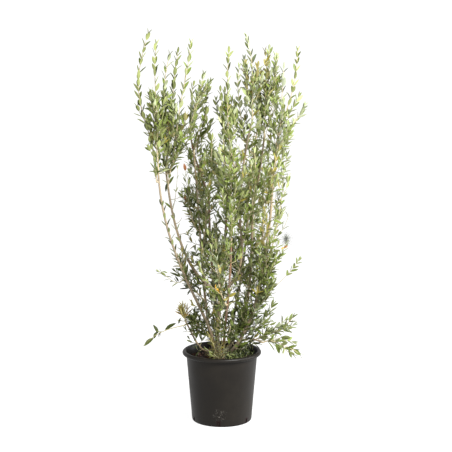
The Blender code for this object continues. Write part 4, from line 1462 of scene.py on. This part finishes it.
@dataclass
class Foliage:
    """Leaders, side shoots, twiglets and their leaves, grown mass by mass.

    Attributes:
        handle: share of a leader's chord that its last handle spans.
        leaf_room: width at a mass's edge that is left to its leaves.
        heights: heights between which leaf lengths and openings change.
    """

    leaves: Leaves
    paths: dict[str, Path]
    stub: float = 0.005
    handle: float = 0.35
    tip_leaf: float = 0.026
    wave: float = 0.0022
    wave_length: float = 0.045
    side_gap: float = 0.021
    twiglet_gap: float = 0.014
    twiglet_step: float = 0.030
    twiglet_reach: float = 0.026
    leaf_room: float = 0.012
    heights: Span = (0.35, 1.25)
    leaf_lengths: Span = (0.038, 0.034)
    openings: Span = (0.85, 0.60)
    leader_radii: Span = (0.0028, 0.0011)
    side_radii: Span = (0.0016, 0.0008)
    twiglet_radii: Span = (0.0010, 0.0006)
    thin_radii: Span = (0.0013, 0.0007)
    weed_radii: Span = (0.0007, 0.0005)
    leader_steps: int = 24
    side_steps: int = 8
    twiglet_steps: int = 4
    clump: Span = (-0.012, -0.068)
    weeds: int = 90
    litter: int = 70
    litter_reach: float = 0.090
    tints: TintRule = TintRule()
    rule: PairRule = PairRule()
    lines: dict[Wood, list[Path]] = field(default_factory=lambda: {wood: [] for wood in Wood})

    def half_width(self, mass: Mass, share: float) -> float:
        """How wide a mass may be at a share of its leader: a spindle, fullest at its belly."""
        slimming = ((share - 0.42) / 0.66) ** 2
        return mass.width * max(0.5, math.sqrt(max(0.0, 1 - slimming)))

    def leader(self, name: str) -> Path:
        """A mass's leader: square off its host, then up to where its last leaf reaches the top.

        Some wander off this curve by their sways times sin(pi s) and sin(2 pi s), and all by a few
        fine waves.

        Args:
            name: the mass.

        Returns:
            The leader's line.
        """
        mass = MASSES[name]
        top, bow, host = np.array(mass.top), np.array(mass.bow), self.paths[mass.host]
        seat, side, radius = host.seat(mass.at, host.at(mass.at)[0] + bow)
        stub = seat + side * self.stub
        arrival = unit((top - stub) * self.handle - bow)
        end = top - arrival * self.tip_leaf
        chord = end - stub
        length = np.linalg.norm(chord)
        bend = stub + side * length * 0.10 + chord * 0.15
        curve = cubic(stub, bend, end - chord * self.handle + bow, end, self.leader_steps)
        share = np.linspace(0, 1, len(curve))[:, None]
        phase = len(name) + np.array((0.0, 2.1, 4.2))
        wave = self.wave * np.sin(share * length / self.wave_length + phase) * np.minimum(1, share * 6)
        once, twice = np.array(SWAY.get(name, ((0, 0, 0), (0, 0, 0))))
        curve = curve + once * np.sin(math.pi * share) + twice * np.sin(math.tau * share) + wave
        inside = seat - side * min(radius, 0.004)
        path = Path.tapered(np.concatenate((inside[None], curve)), *self.leader_radii)
        path.radii[:2] *= (1.5, 1.25)
        return path

    def pairs(self, name: str, path: Path, gap: float, first: float, size: float, opening: float,
              rng: Draws, slender: float = 0.0, missing: float = 0.05, tint: Tint | None = None,
              last: bool = True) -> None:
        """Opposite pairs of leaves along a shoot, each pair square to the last, and one at the tip.

        Args:
            name: the mass or limb that they belong to.
            path: the shoot.
            gap: distance between pairs.
            first: length at the foot that has no leaves.
            size: length of a full leaf.
            opening: angle between a leaf and the shoot near its foot, in radians.
            rng: the random draws.
            slender: width of a leaf, as a share of its length, or 0 for that of its height.
            missing: share of the leaves that have dropped.
            tint: their colour, or none for that of the place, which holds painted light to the right and
                painted shade inside.
            last: whether the tip has a pair too.
        """
        rule, length, end = self.rule, path.length, path.points[-1]
        outward = min(1.0, float(np.hypot(*end[:2])) / rule.outside) - 0.5
        # a picked tint holds painted light to the right and painted shade inside the shrub
        spray = tint or self.tints.pick(end, outward, rng)
        slender = slender or between(end[2], rule.heights, rule.slender)
        turn = rng.uniform(0, math.pi)
        count = max(0, round((length - first) / gap))
        for i in range(count):
            place = i + rule.place + rng.uniform(-rule.place_spread, rule.place_spread)
            share = (first + (length - first) * place / count) / length
            root, up, radius = path.at(share)
            turn += math.pi / 2 + rng.uniform(-rule.turn_spread, rule.turn_spread)
            grown = size * (1.0 - rule.young_loss * max(0.0, share - rule.young) / rule.young_part)
            for side in (0, 1):
                if rng.random() < missing:
                    continue
                out = beside(up, turn + side * math.pi)
                angle = opening - rule.closing * share + rng.normal(0, rule.angle_spread)
                direction = up * math.cos(angle) + out * math.sin(angle)
                face = unit(up + rule.face_lift * UP + rng.normal(0, rule.face_spread, 3))
                blade = grown * rng.uniform(*rule.lengths)
                kept = tint or rng.random() < rule.same_tint
                # picked tints hold painted light to the right and painted shade inside
                shade = spray if kept else self.tints.pick(root, outward, rng)
                self.leaves.add(shade, name, root + out * radius * rule.seat, direction, face, blade,
                                blade * slender * rng.uniform(*rule.widths), rng.uniform(*rule.droops))
        if not last:
            return
        up = path.at(1.0)[1]
        blade = size * rule.tip_length
        for side in (-1, 1):
            out = beside(up, turn + math.pi / 2) * side
            self.leaves.add(spray, name, end, unit(up + out * rule.tip_splay), -out + up * rule.tip_lift,
                            blade, blade * slender * rule.tip_width, rule.tip_droop)

    def side_shoots(self, mass: Mass, growth: Growth, leader: Path, rng: Draws) -> list[Path]:
        """Side shoots, turned by the golden angle from one to the next, that curve up at their tips.

        Args:
            mass: the mass that they fill.
            growth: how it grows.
            leader: its leader.
            rng: the random draws.

        Returns:
            Their lines.
        """
        count = round(mass.shoots * growth.shoots)
        turn = rng.uniform(0, math.tau)
        shoots = []
        for i in range(count):
            share = growth.low + (growth.high - growth.low) * (i + rng.uniform(0.2, 0.8)) / count
            start, up, _ = leader.at(share)
            out = beside(up, turn + i * GOLDEN_ANGLE)
            room = self.half_width(mass, share + 0.15) - self.leaf_room
            spread = max(self.leaf_room, room) * rng.uniform(0.5, 1.0)
            left = (1 - share) * leader.length
            rise = min(spread * rng.uniform(*growth.rise) + 0.02, left * rng.uniform(0.45, 0.8))
            end = start + out * spread + up * rise
            bend = start + out * spread * 0.6 + up * rise * 0.3
            points = cubic(start, bend, end - up * rise * 0.35, end, self.side_steps)
            shoots.append(Path.tapered(points, *self.side_radii))
        return shoots

    def twiglets(self, parent: Path, share_grown: float, rng: Draws) -> list[Path]:
        """Short twigs in opposite pairs along a shoot, each pair square to the last.

        Args:
            parent: the shoot.
            share_grown: share of the places that have a twiglet.
            rng: the random draws.

        Returns:
            Their lines.
        """
        count = int(parent.length / self.twiglet_step)
        turn = rng.uniform(0, math.pi)
        twigs = []
        for i in range(count):
            share = (i + rng.uniform(0.4, 0.9)) / count * 0.85
            start, up, _ = parent.at(share)
            turn += math.pi / 2
            for side in (0, 1):
                if rng.random() > share_grown:
                    continue
                out = beside(up, turn + side * math.pi + rng.uniform(-0.4, 0.4))
                size = self.twiglet_reach * rng.uniform(0.6, 1.1)
                end = start + out * size * 0.55 + up * size * 0.83
                points = cubic(start, start + out * size * 0.35 + up * size * 0.1,
                               end - up * size * 0.3, end, self.twiglet_steps)
                twigs.append(Path.tapered(points, *self.twiglet_radii))
        return twigs

    def grow_masses(self) -> None:
        """Grow every mass by the same rule: leader, side shoots, twiglets."""
        for seed, (name, mass) in enumerate(MASSES.items()):
            rng = np.random.default_rng(seed + 1)
            growth = mass.habit.value
            leader = self.leader(name)
            if growth.thin:
                leader = leader.cut(0.0, 1.0, self.side_steps + 1, growth.thin)
            self.lines[Wood.SIDE if growth.thin else Wood.LEADER].append(leader)
            height = float(leader.points[:, 2].mean())
            size = between(height, self.heights, self.leaf_lengths) * growth.size
            opening = between(height, self.heights, self.openings)
            own = OWN_TINTS.get(name, (None,))
            broad = BROAD_LEAVES.get(name, 0.0)
            self.pairs(name, leader, growth.gap, growth.bare, size, opening, rng, tint=own[0],
                       slender=broad)
            for number, shoot in enumerate(self.side_shoots(mass, growth, leader, rng)):
                self.lines[Wood.SIDE].append(shoot)
                self.pairs(name, shoot, self.side_gap, 0.008, size * 0.94, opening + 0.05, rng,
                           tint=own[number % len(own)], slender=broad)
                for twig in self.twiglets(shoot, growth.twiggy, rng):
                    self.lines[Wood.TWIGLET].append(twig)
                    self.pairs(name, twig, self.twiglet_gap, 0.005, size * 0.84, opening + 0.1, rng)

    def grow_sprigs(self) -> None:
        """Grow the short shoots on the limbs, turned by the golden angle from one to the next."""
        for seed, row in enumerate(SPRIGS):
            rng = np.random.default_rng(seed + 101)
            host = self.paths[row.host]
            turn = rng.uniform(0, math.tau)
            for i in range(row.count):
                share = row.low + (row.high - row.low) * (i + rng.uniform(0.1, 0.9)) / row.count
                start, up, radius = host.at(share)
                out = beside(up, turn + i * GOLDEN_ANGLE)
                size = row.length * rng.uniform(*row.lengths)
                rise = unit(up + 0.5 * UP)
                end = start + out * size * row.spread + rise * size * row.climb
                points = cubic(start + out * radius * 0.4, start + out * size * 0.4 + rise * size * 0.05,
                               end - rise * size * 0.3, end, self.side_steps)
                shoot = Path.tapered(points, *row.radii)
                self.lines[Wood.SIDE].append(shoot)
                self.pairs(row.host, shoot, row.gap, row.bare, rng.uniform(*row.leaves), row.opening,
                           rng, slender=rng.uniform(*row.slender))

    def grow_twigs(self) -> None:
        """Grow the single twigs and the leaves that stand out."""
        rng = np.random.default_rng(55)
        for row in TWIGS:
            tip, bow, host = np.array(row.tip), np.array(row.bow), self.paths[row.host]
            seat, side, radius = host.seat(row.at, tip)
            chord = tip - seat
            points = cubic(seat - side * radius * 0.8, seat + side * 0.006 + chord * 0.12,
                           tip - chord * 0.35 + bow, tip, self.side_steps)
            twig = Path.tapered(points, *self.thin_radii)
            self.lines[Wood.SIDE].append(twig)
            self.pairs(row.host, twig, row.gap, row.bare, row.size, row.opening, rng,
                       missing=row.missing, tint=row.tint, last=row.missing < 0.5)
        for row in STRAY_LEAVES:
            direction = unit(np.array(row.direction))
            face = unit(UP + rng.normal(0, 0.3, 3) - np.array((0.0, 0.8, 0.0)))
            self.leaves.add(row.tint, "", np.array(row.root), direction, face, row.length,
                            row.length * row.slender, row.droop)

    def line_limbs(self) -> None:
        """Set thin rows of leaves straight on the limbs that have few shoots."""
        rng = np.random.default_rng(91)
        for row in LIMB_LEAVES:
            line = self.paths[row.host].cut(row.low, row.high, row.points)
            self.pairs(row.host, line, row.gap, 0.0, row.size, row.opening, rng, slender=row.slender,
                       missing=row.missing, tint=row.tint, last=False)

    def grow_ground(self, soil: "Soil") -> None:
        """Grow what comes out of the compost: basal shoots, small weeds and leaf litter.

        Args:
            soil: the compost.
        """
        rng = np.random.default_rng(33)
        for tip in BASAL_SHOOTS:
            root = soil.place(*(middle + rng.normal(0, 0.004) for middle in self.clump))
            chord = np.array(tip) - root
            points = cubic(root, root + chord * 0.25 + UP * 0.012, root + chord * 0.7 + UP * 0.006,
                           np.array(tip), self.side_steps)
            shoot = Path.tapered(points, *self.thin_radii)
            self.lines[Wood.SIDE].append(shoot)
            self.pairs("", shoot, 0.0095, 0.006, rng.uniform(0.018, 0.024), 0.95, rng, slender=0.17,
                       tint=rng.choice((Tint.FRESH, Tint.OLIVE, Tint.GREY, Tint.BRIGHT)))
        for _ in range(self.weeds):
            angle, reach = rng.uniform(-1.3, 1.1), rng.uniform(0.045, 0.108)
            root = soil.place(reach * math.cos(angle), reach * math.sin(angle))
            tip = root + np.array((rng.normal(0, 0.008), rng.normal(0, 0.008), rng.uniform(0.012, 0.030)))
            points = cubic(root, root + UP * 0.008, tip - UP * 0.006, tip, self.twiglet_steps)
            weed = Path.tapered(points, *self.weed_radii)
            self.lines[Wood.TWIGLET].append(weed)
            self.pairs("", weed, 0.007, 0.003, rng.uniform(0.009, 0.015), 1.05, rng, slender=0.45,
                       tint=rng.choice((Tint.MOSS, Tint.DARK, Tint.MOSS)))
        for _ in range(self.litter):
            angle, reach = rng.uniform(0, math.tau), self.litter_reach * math.sqrt(rng.random())
            root = soil.place(reach * math.cos(angle), reach * math.sin(angle)) + UP * 0.003
            heading = rng.uniform(0, math.tau)
            flat = np.array((math.cos(heading), math.sin(heading), rng.normal(0.05, 0.12)))
            self.leaves.add(rng.choice((Tint.LITTER, Tint.LITTER, Tint.BRONZE)), "", root, unit(flat),
                            UP + rng.normal(0, 0.3, 3), rng.uniform(0.018, 0.032),
                            rng.uniform(0.006, 0.010), rng.uniform(-0.6, 0.6))

    def build(self) -> None:
        """Make the twigs' pieces: woody leaders, side shoots and young twiglets."""
        for wood, lines in self.lines.items():
            kind, sides, finish, shade, roughness = wood.value
            shape = Shape()
            add_tubes(shape, np.array([line.points for line in lines]),
                      np.array([line.radii for line in lines]), sides)
            piece = shape.piece(f"twigs_{kind}", [PlainFinish(finish, shade, roughness).material()],
                                Slot.BARK, sharp=80)
            if wood is Wood.LEADER:
                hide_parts(*(f"foliage_{name}" for name in MASSES))


@dataclass
class SeedTuft:
    """A tuft of grey seed down that has caught on a twig at the right side."""

    at: Place = (0.240, -0.034, 0.700)
    fibres: int = 520
    reach: float = 0.026
    radius: float = 0.00012
    knots: int = 5
    shade: int = 0x7C7E78

    def build(self) -> None:
        """Hairs from the middle outward, each a curve that bends by a random amount."""
        rng = np.random.default_rng(8)
        away = unit(rng.normal(0, 1, (self.fibres, 3)) * (0.8, 0.8, 1.1) + (0.1, 0.0, 0.25))
        size = self.reach * rng.uniform(0.35, 1.0, (self.fibres, 1))
        curl = rng.normal(0, 0.35, (self.fibres, 3))
        share = np.linspace(0.0, 1.0, self.knots)[None, :, None]
        points = (np.array(self.at) + away[:, None] * size[:, None] * share
                  + curl[:, None] * size[:, None] * share ** 2)
        shape = Shape()
        add_tubes(shape, points, np.full((self.fibres, self.knots), self.radius), 3)
        shape.piece("seed_down", [PlainFinish("down_grey", self.shade, 0.9, 0.1).material()],
                    Slot.LEAF, sharp=80)


# ---- pot and compost

@dataclass
class Pot:
    """The moulded pot: a thin tapering wall with a rolled lip and a ring of drain windows.

    Attributes:
        top_radius: outside of the wall, carried on to the full height.
        underside: radius and height of the rows of the underside, hollow inside a standing ring.
        sectors: columns of the grid between the middles of two windows.
        window_columns: how many of them a window takes.
    """

    height: float = 0.270
    lip_radius: float = 0.150
    lip_height: float = 0.016
    top_radius: float = 0.1365
    foot_radius: float = 0.1135
    wall: float = 0.0025
    floor: float = 0.0035
    edge: float = 0.0045
    step: float = 0.0003
    outer_levels: int = 40
    inner_levels: int = 30
    underside: tuple[Span, ...] = ((0.095, 0.0), (0.092, 0.0008), (0.050, 0.0008), (0.004, 0.0008))
    windows: int = 6
    window_width: float = 0.010
    window_bottom: float = 0.0065
    window_rows: tuple[float, ...] = (0.0155, 0.011)
    window_top: float = 0.020
    window_turn: float = math.radians(-96)
    sectors: int = 32
    window_columns: int = 4

    def wall_radius(self, z: Array | float) -> Array | float:
        """The outside of the tapering wall at height z."""
        return self.foot_radius + (self.top_radius - self.foot_radius) * z / self.height

    def arc(self, centre: Span, radius: float, start: float, end: float, steps: int) -> Array:
        """Points (radius, z) of a circular arc, angles in degrees."""
        angles = np.radians(np.linspace(start, end, steps + 1))
        return np.stack((centre[0] + radius * np.cos(angles), centre[1] + radius * np.sin(angles)), 1)

    def lip(self, end: float, steps: int) -> Array:
        """The lip's arc from its crown to an angle in degrees, in so many lengths."""
        roll = self.lip_height / 2
        return self.arc((self.lip_radius - roll, self.height - roll), roll, 90, end, steps)

    def levels(self, top: float, count: int) -> Array:
        """Heights of the wall's rows: evenly down to the windows, then at their edges."""
        return np.concatenate((np.linspace(top, 0.024, count),
                               (self.window_top, *self.window_rows, self.window_bottom)))

    def outer_rows(self) -> Array:
        """The section down the outside, from the lip's crown to the middle of the underside.

        The lip is an arc that turns under, and the wall has a faint moulding step near its top and
        one near its foot.

        Returns:
            Radius and height, one row for each ring.
        """
        levels = self.levels(self.height - self.lip_height - 0.0005, self.outer_levels)
        radii = (self.wall_radius(levels) + self.step * smooth_step(0.246, 0.248, levels)
                 + self.step * smooth_step(0.030, 0.028, levels))
        wall = np.stack((radii, levels), 1)
        edge = self.arc((self.wall_radius(self.edge) - self.edge, self.edge), self.edge, 0, -90, 6)
        return np.concatenate((self.lip(-80, 16), wall, edge, self.underside))

    def inner_rows(self) -> Array:
        """The section down the inside, from the lip's crown to the middle of the floor.

        Returns:
            Radius and height, one row for each ring.
        """
        levels = self.levels(self.height - self.lip_height, self.inner_levels)
        wall = np.stack((self.wall_radius(levels) - self.wall, levels), 1)
        floor = [(r, self.floor) for r in (self.wall_radius(self.floor) - self.wall, 0.05, 0.004)]
        return np.concatenate((self.lip(128, 4)[1:], wall, floor))

    def columns(self) -> Array:
        """Headings of the grid's columns, closer together across the windows.

        Returns:
            Angles in radians, from the first window's left edge round.
        """
        half = self.window_width / 2 / self.foot_radius
        step = math.tau / self.windows
        inside = np.linspace(-half, half, self.window_columns + 1)
        outside = np.linspace(half, step - half, self.sectors - self.window_columns + 1)[1:-1]
        sector = np.concatenate((inside, outside))
        return np.concatenate([self.window_turn + step * i + sector for i in range(self.windows)])

    def mesh(self) -> Shape:
        """Both surfaces as one grid, with the windows left out and their sides closed.

        Row by row the grid runs down the outside, and back up the inside. A window's faces are left
        out of both surfaces, and quads join the two along its border.

        Returns:
            The shell as one closed shape.
        """
        outer, inner = self.outer_rows(), self.inner_rows()
        section = np.concatenate((outer[::-1], inner))
        turn = self.columns()
        count, rows = len(turn), len(section)
        x, y = section[:, :1] * np.cos(turn)[None], section[:, :1] * np.sin(turn)[None]
        z = np.broadcast_to(section[:, 1:], x.shape)
        points = np.stack((x, y, z), axis=-1).reshape(-1, 3)
        poles = np.array(((0, 0, outer[-1, 1]), (0, 0, inner[-1, 1])), float)

        i, j = np.meshgrid(np.arange(rows - 1), np.arange(count), indexing="ij")
        after = (j + 1) % count
        quads = np.stack((i * count + j, i * count + after, (i + 1) * count + after,
                          (i + 1) * count + j), axis=-1)
        middle = (section[:-1] + section[1:]) / 2
        in_height = ((middle[:, 1] > self.window_bottom) & (middle[:, 1] < self.window_top)
                     & (middle[:, 0] > 0.10))
        in_turn = (np.arange(count) % self.sectors) < self.window_columns
        kept = ~(in_height[:, None] & in_turn[None])
        faces = [quads[kept]]

        open_rows = np.flatnonzero(in_height)
        low_out, high_out = open_rows[:3].min(), open_rows[:3].max() + 1
        high_in, low_in = open_rows[3:].min(), open_rows[3:].max() + 1
        for sector in range(self.windows):
            left = sector * self.sectors
            span = left + np.arange(self.window_columns + 1)
            for row_out, row_in, flip in ((low_out, low_in, False), (high_out, high_in, True)):
                a, b = row_out * count + span[:-1], row_out * count + span[1:]
                c, d = row_in * count + span[1:], row_in * count + span[:-1]
                faces.append(np.stack((a, d, c, b) if flip else (a, b, c, d), axis=-1))
            heights = np.arange(high_out - low_out)
            for column, flip in ((left, True), (left + self.window_columns, False)):
                a = (low_out + heights) * count + column
                b = (low_out + heights + 1) * count + column
                c = (low_in - heights - 1) * count + column
                d = (low_in - heights) * count + column
                faces.append(np.stack((a, d, c, b) if flip else (a, b, c, d), axis=-1))
        base = rows * count
        faces.append(end_faces(count, 0, base, True))
        faces.append(end_faces(count, (rows - 1) * count, base + 1, False))
        shape = Shape()
        shape.add(np.concatenate((points, poles)), faces)
        return shape

    def build(self) -> None:
        """Build the pot in place of its solid."""
        piece = self.mesh().piece("pot_shell", [PotPlastic().material()], Slot.POT, sharp=38)
        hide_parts("pot")


@dataclass
class Soil:
    """The compost: a lumpy surface, with crumbs and chips of bark on it.

    Attributes:
        sagging: distances from the middle between which it sinks.
        lump_sizes: for each size of lump, how many to the metre, an offset, a seed and its share.
        scatter: how far from the middle they lie.
    """

    pot: Pot
    rings: int = 70
    turns: int = 150
    sag: float = 0.006
    sagging: Span = (0.095, 0.128)
    lumps: float = 0.0035
    lump_sizes: tuple[tuple[int, int, int, float], ...] = (
        (45, 20, 3, 0.6), (120, 40, 4, 0.3), (330, 60, 5, 0.16))
    clearance: float = 0.0003
    crumbs: int = 900
    chips: int = 90
    scatter: float = 0.124

    def height(self, x: Array, y: Array) -> Array:
        """Height over the plane: level, sunk at the wall, with the noise of each size of lump.

        Args:
            x: first coordinate.
            y: second coordinate.

        Returns:
            The height at each place.
        """
        sag = self.sag * smooth_step(*self.sagging, np.hypot(x, y))
        lumps = sum(value_noise(x * size + shift, y * size + shift, seed) * share
                    for size, shift, seed, share in self.lump_sizes)
        return SOIL_TOP - sag + self.lumps * lumps

    def place(self, x: float, y: float) -> Array:
        """A place just under the compost's surface."""
        return np.array((x, y, float(self.height(np.array(x), np.array(y))) - 0.001))

    def surface(self) -> Shape:
        """A disc of rings whose height is the lumpy surface, closed by its side and underside.

        Returns:
            The closed shape.
        """
        bottom = self.pot.floor + self.clearance
        rim = float(self.pot.wall_radius(SOIL_TOP - self.sag)) - self.pot.wall - self.clearance
        foot = float(self.pot.wall_radius(bottom)) - self.pot.wall - self.clearance
        r = np.linspace(0, 1, self.rings + 1)[1:] * rim
        turn = np.arange(self.turns) * math.tau / self.turns
        radius, angle = np.meshgrid(r, turn, indexing="ij")
        x, y = radius * np.cos(angle), radius * np.sin(angle)
        top = np.stack((x, y, self.height(x, y)), axis=-1)[::-1]
        low = np.stack((foot * np.cos(turn), foot * np.sin(turn), np.full(self.turns, bottom)), -1)
        points = np.concatenate((low[None], top)).reshape(-1, 3)
        poles = np.array(((0, 0, bottom), (0, 0, float(self.height(np.zeros(1), np.zeros(1))[0]))))
        shape = Shape()
        count = self.rings + 1
        shape.add(np.concatenate((points, poles)),
                  [ring_faces(count, self.turns), end_faces(self.turns, 0, len(points), True),
                   end_faces(self.turns, self.rings * self.turns, len(points) + 1, False)])
        return shape

    def scattered(self, count: int, rng: Draws) -> Array:
        """Places on the surface, spread evenly over the disc.

        Args:
            count: how many.
            rng: the random draws.

        Returns:
            The places, one row each.
        """
        radius = self.scatter * np.sqrt(rng.random(count))
        angle = rng.uniform(0, math.tau, count)
        x, y = radius * np.cos(angle), radius * np.sin(angle)
        return np.stack((x, y, self.height(x, y)), axis=-1)

    def lumps_of(self, places: Array, sizes: Array, rng: Draws) -> Shape:
        """Small closed lumps: six-sided double cones, squashed by their sizes and turned at random.

        Args:
            places: centres, one row each.
            sizes: half lengths along three axes, one row each.
            rng: the random draws.

        Returns:
            All of them in one shape.
        """
        sides = 6
        turn = np.arange(sides) * math.tau / sides
        ring = np.stack((np.cos(turn), np.sin(turn), np.zeros(sides)), -1)
        body = np.concatenate((ring * (1, 1, 1) + (0, 0, -0.35), ring * (0.8, 0.8, 1) + (0, 0, 0.4),
                               ((0, 0, -1.0), (0, 0, 1.0))))
        body = body[None] * (1 + rng.uniform(-0.22, 0.22, (len(places), len(body), 1)))
        body = body * sizes[:, None]
        spin = rng.uniform(0, math.tau, len(places))
        tilt = rng.uniform(-0.7, 0.7, len(places))
        c, s, ct, st = np.cos(spin), np.sin(spin), np.cos(tilt), np.sin(tilt)
        x, y, z = body[..., 0], body[..., 1], body[..., 2]
        y, z = y * ct[:, None] - z * st[:, None], y * st[:, None] + z * ct[:, None]
        x, y = x * c[:, None] - y * s[:, None], x * s[:, None] + y * c[:, None]
        points = np.stack((x, y, z), -1) + places[:, None]
        block = body.shape[1]
        faces = [ring_faces(2, sides), end_faces(sides, 0, block - 2, True),
                 end_faces(sides, sides, block - 1, False)]
        shape = Shape()
        shape.add(points.reshape(-1, 3), [repeated(part, len(places), block) for part in faces])
        return shape

    def build(self) -> None:
        """Build the surface and what lies on it."""
        rng = np.random.default_rng(77)
        ground = self.surface().piece("soil_surface", [Compost().material()], Slot.SOIL, sharp=60)
        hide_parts("soil")
        places = self.scattered(self.crumbs, rng)
        sizes = rng.uniform(0.0008, 0.0032, (self.crumbs, 1)) * rng.uniform(0.6, 1.2, (self.crumbs, 3))
        self.lumps_of(places, sizes, rng).piece(
            "soil_crumbs", [Compost(dark=0x1A120D, brown=0x30211A).material()], Slot.SOIL)
        places = self.scattered(self.chips, rng) + (0, 0, 0.001)
        sizes = (rng.uniform(0.004, 0.011, (self.chips, 1)) * (1.0, 0.42, 0.14)
                 * rng.uniform(0.7, 1.2, (self.chips, 3)))
        self.lumps_of(places, sizes, rng).piece(
            "bark_chips", [Compost(dark=0x2A1810, brown=0x4A2C1C, fibre=0x6A4A30).material()], Slot.SOIL)


# ---- studio

class SoftBox(Enum):
    """The lights: name, place, width and height, and power in watts."""

    KEY = ("key", (2.2, -2.8, 3.2), (1.6, 1.6), 560)
    FILL = ("fill", (-3.0, -2.4, 1.8), (2.2, 2.2), 30)
    RIM = ("rim", (3.0, 0.5, 1.1), (1.2, 2.2), 95)


@dataclass
class Studio:
    """A pale floor, soft light and the camera."""

    camera_at: Place = (0.016, -4.3, 1.35)
    pitch: float = math.radians(8.0)
    lens: float = 92.2
    aim: Place = (0.0, 0.0, 0.75)
    sky: float = 0.40
    sides: int = 96
    flat: Span = (2.0, 5.0)
    bend_from: float = 9.0
    bend: float = 2.0
    top: float = 6.5

    def floor(self) -> None:
        """A large round pale floor that turns up into a backdrop on every side."""
        turn = np.linspace(0.0, math.pi / 2, 9)
        reach = np.concatenate((self.flat, self.bend_from + self.bend * np.sin(turn),
                                (self.bend_from + self.bend,)))
        rise = np.concatenate(((0.0, 0.0), self.bend - self.bend * np.cos(turn), (self.top,)))
        around = np.arange(self.sides) * math.tau / self.sides
        ring = np.stack((np.cos(around), np.sin(around), np.zeros(self.sides)), -1)
        points = ring[None] * reach[:, None, None] + rise[:, None, None] * UP
        points = np.concatenate((points.reshape(-1, 3), np.zeros((1, 3))))
        middle = end_faces(self.sides, 0, len(points) - 1, True)[:, ::-1]
        faces = ring_faces(len(reach), self.sides)[:, ::-1].tolist() + middle.tolist()
        mesh = bpy.data.meshes.new("studio_floor")
        mesh.from_pydata(points.tolist(), [], faces)
        mesh.shade_smooth()
        white = Graph("studio_white", Base_Color=(0.15, 0.15, 0.15, 1.0), Roughness=1.0,
                      Specular_IOR_Level=0.0, Emission_Color=colour(0xFFFFFF), Emission_Strength=0.93)
        mesh.materials.append(white.material)
        item = linked("studio_floor", mesh)

    def light(self, box: SoftBox) -> None:
        """Set up an area light that faces the plant.

        Args:
            box: the light.
        """
        name, at, size, power = box.value
        data = bpy.data.lights.new(name, "AREA")
        data.shape = "RECTANGLE"
        data.size, data.size_y = size
        data.energy = power
        item = linked(name, data)
        item.location = at
        away = Vector(at) - Vector(self.aim)
        item.rotation_euler = away.to_track_quat("Z", "Y").to_euler()

    def build(self) -> None:
        """Set up the floor, the world, the lights and the camera."""
        self.floor()
        world = bpy.data.worlds.new("studio_world")
        world.use_nodes = True
        background = world.node_tree.nodes["Background"]
        background.inputs["Color"].default_value = (1, 1, 1, 1)
        background.inputs["Strength"].default_value = self.sky
        bpy.context.scene.world = world
        for box in SoftBox:
            self.light(box)
        data = bpy.data.cameras.new("camera")
        data.lens = self.lens
        data.sensor_width = 36.0
        camera = linked("camera", data)
        camera.location = self.camera_at
        camera.rotation_euler = (math.pi / 2 - self.pitch, 0.0, 0.0)
        bpy.context.scene.camera = camera
        bpy.context.scene.view_settings.view_transform = "Standard"


def main() -> None:
    """Build every sub-assembly in order."""
    logging.basicConfig(level=logging.INFO, format="%(name)s %(message)s")
    Studio().build()
    pot = Pot()
    pot.build()
    soil = Soil(pot)
    soil.build()
    limbs = Limbs()
    paths = limbs.lay_out()
    limbs.build()
    leaves = Leaves()
    foliage = Foliage(leaves, paths)
    foliage.grow_masses()
    foliage.grow_sprigs()
    foliage.grow_twigs()
    foliage.line_limbs()
    foliage.grow_ground(soil)
    foliage.build()
    SeedTuft().build()
    leaves.build()
    log.info("leaves: %d", sum(len(rows) for rows in leaves.rows.values()))


if __name__ == "__main__":
    main()
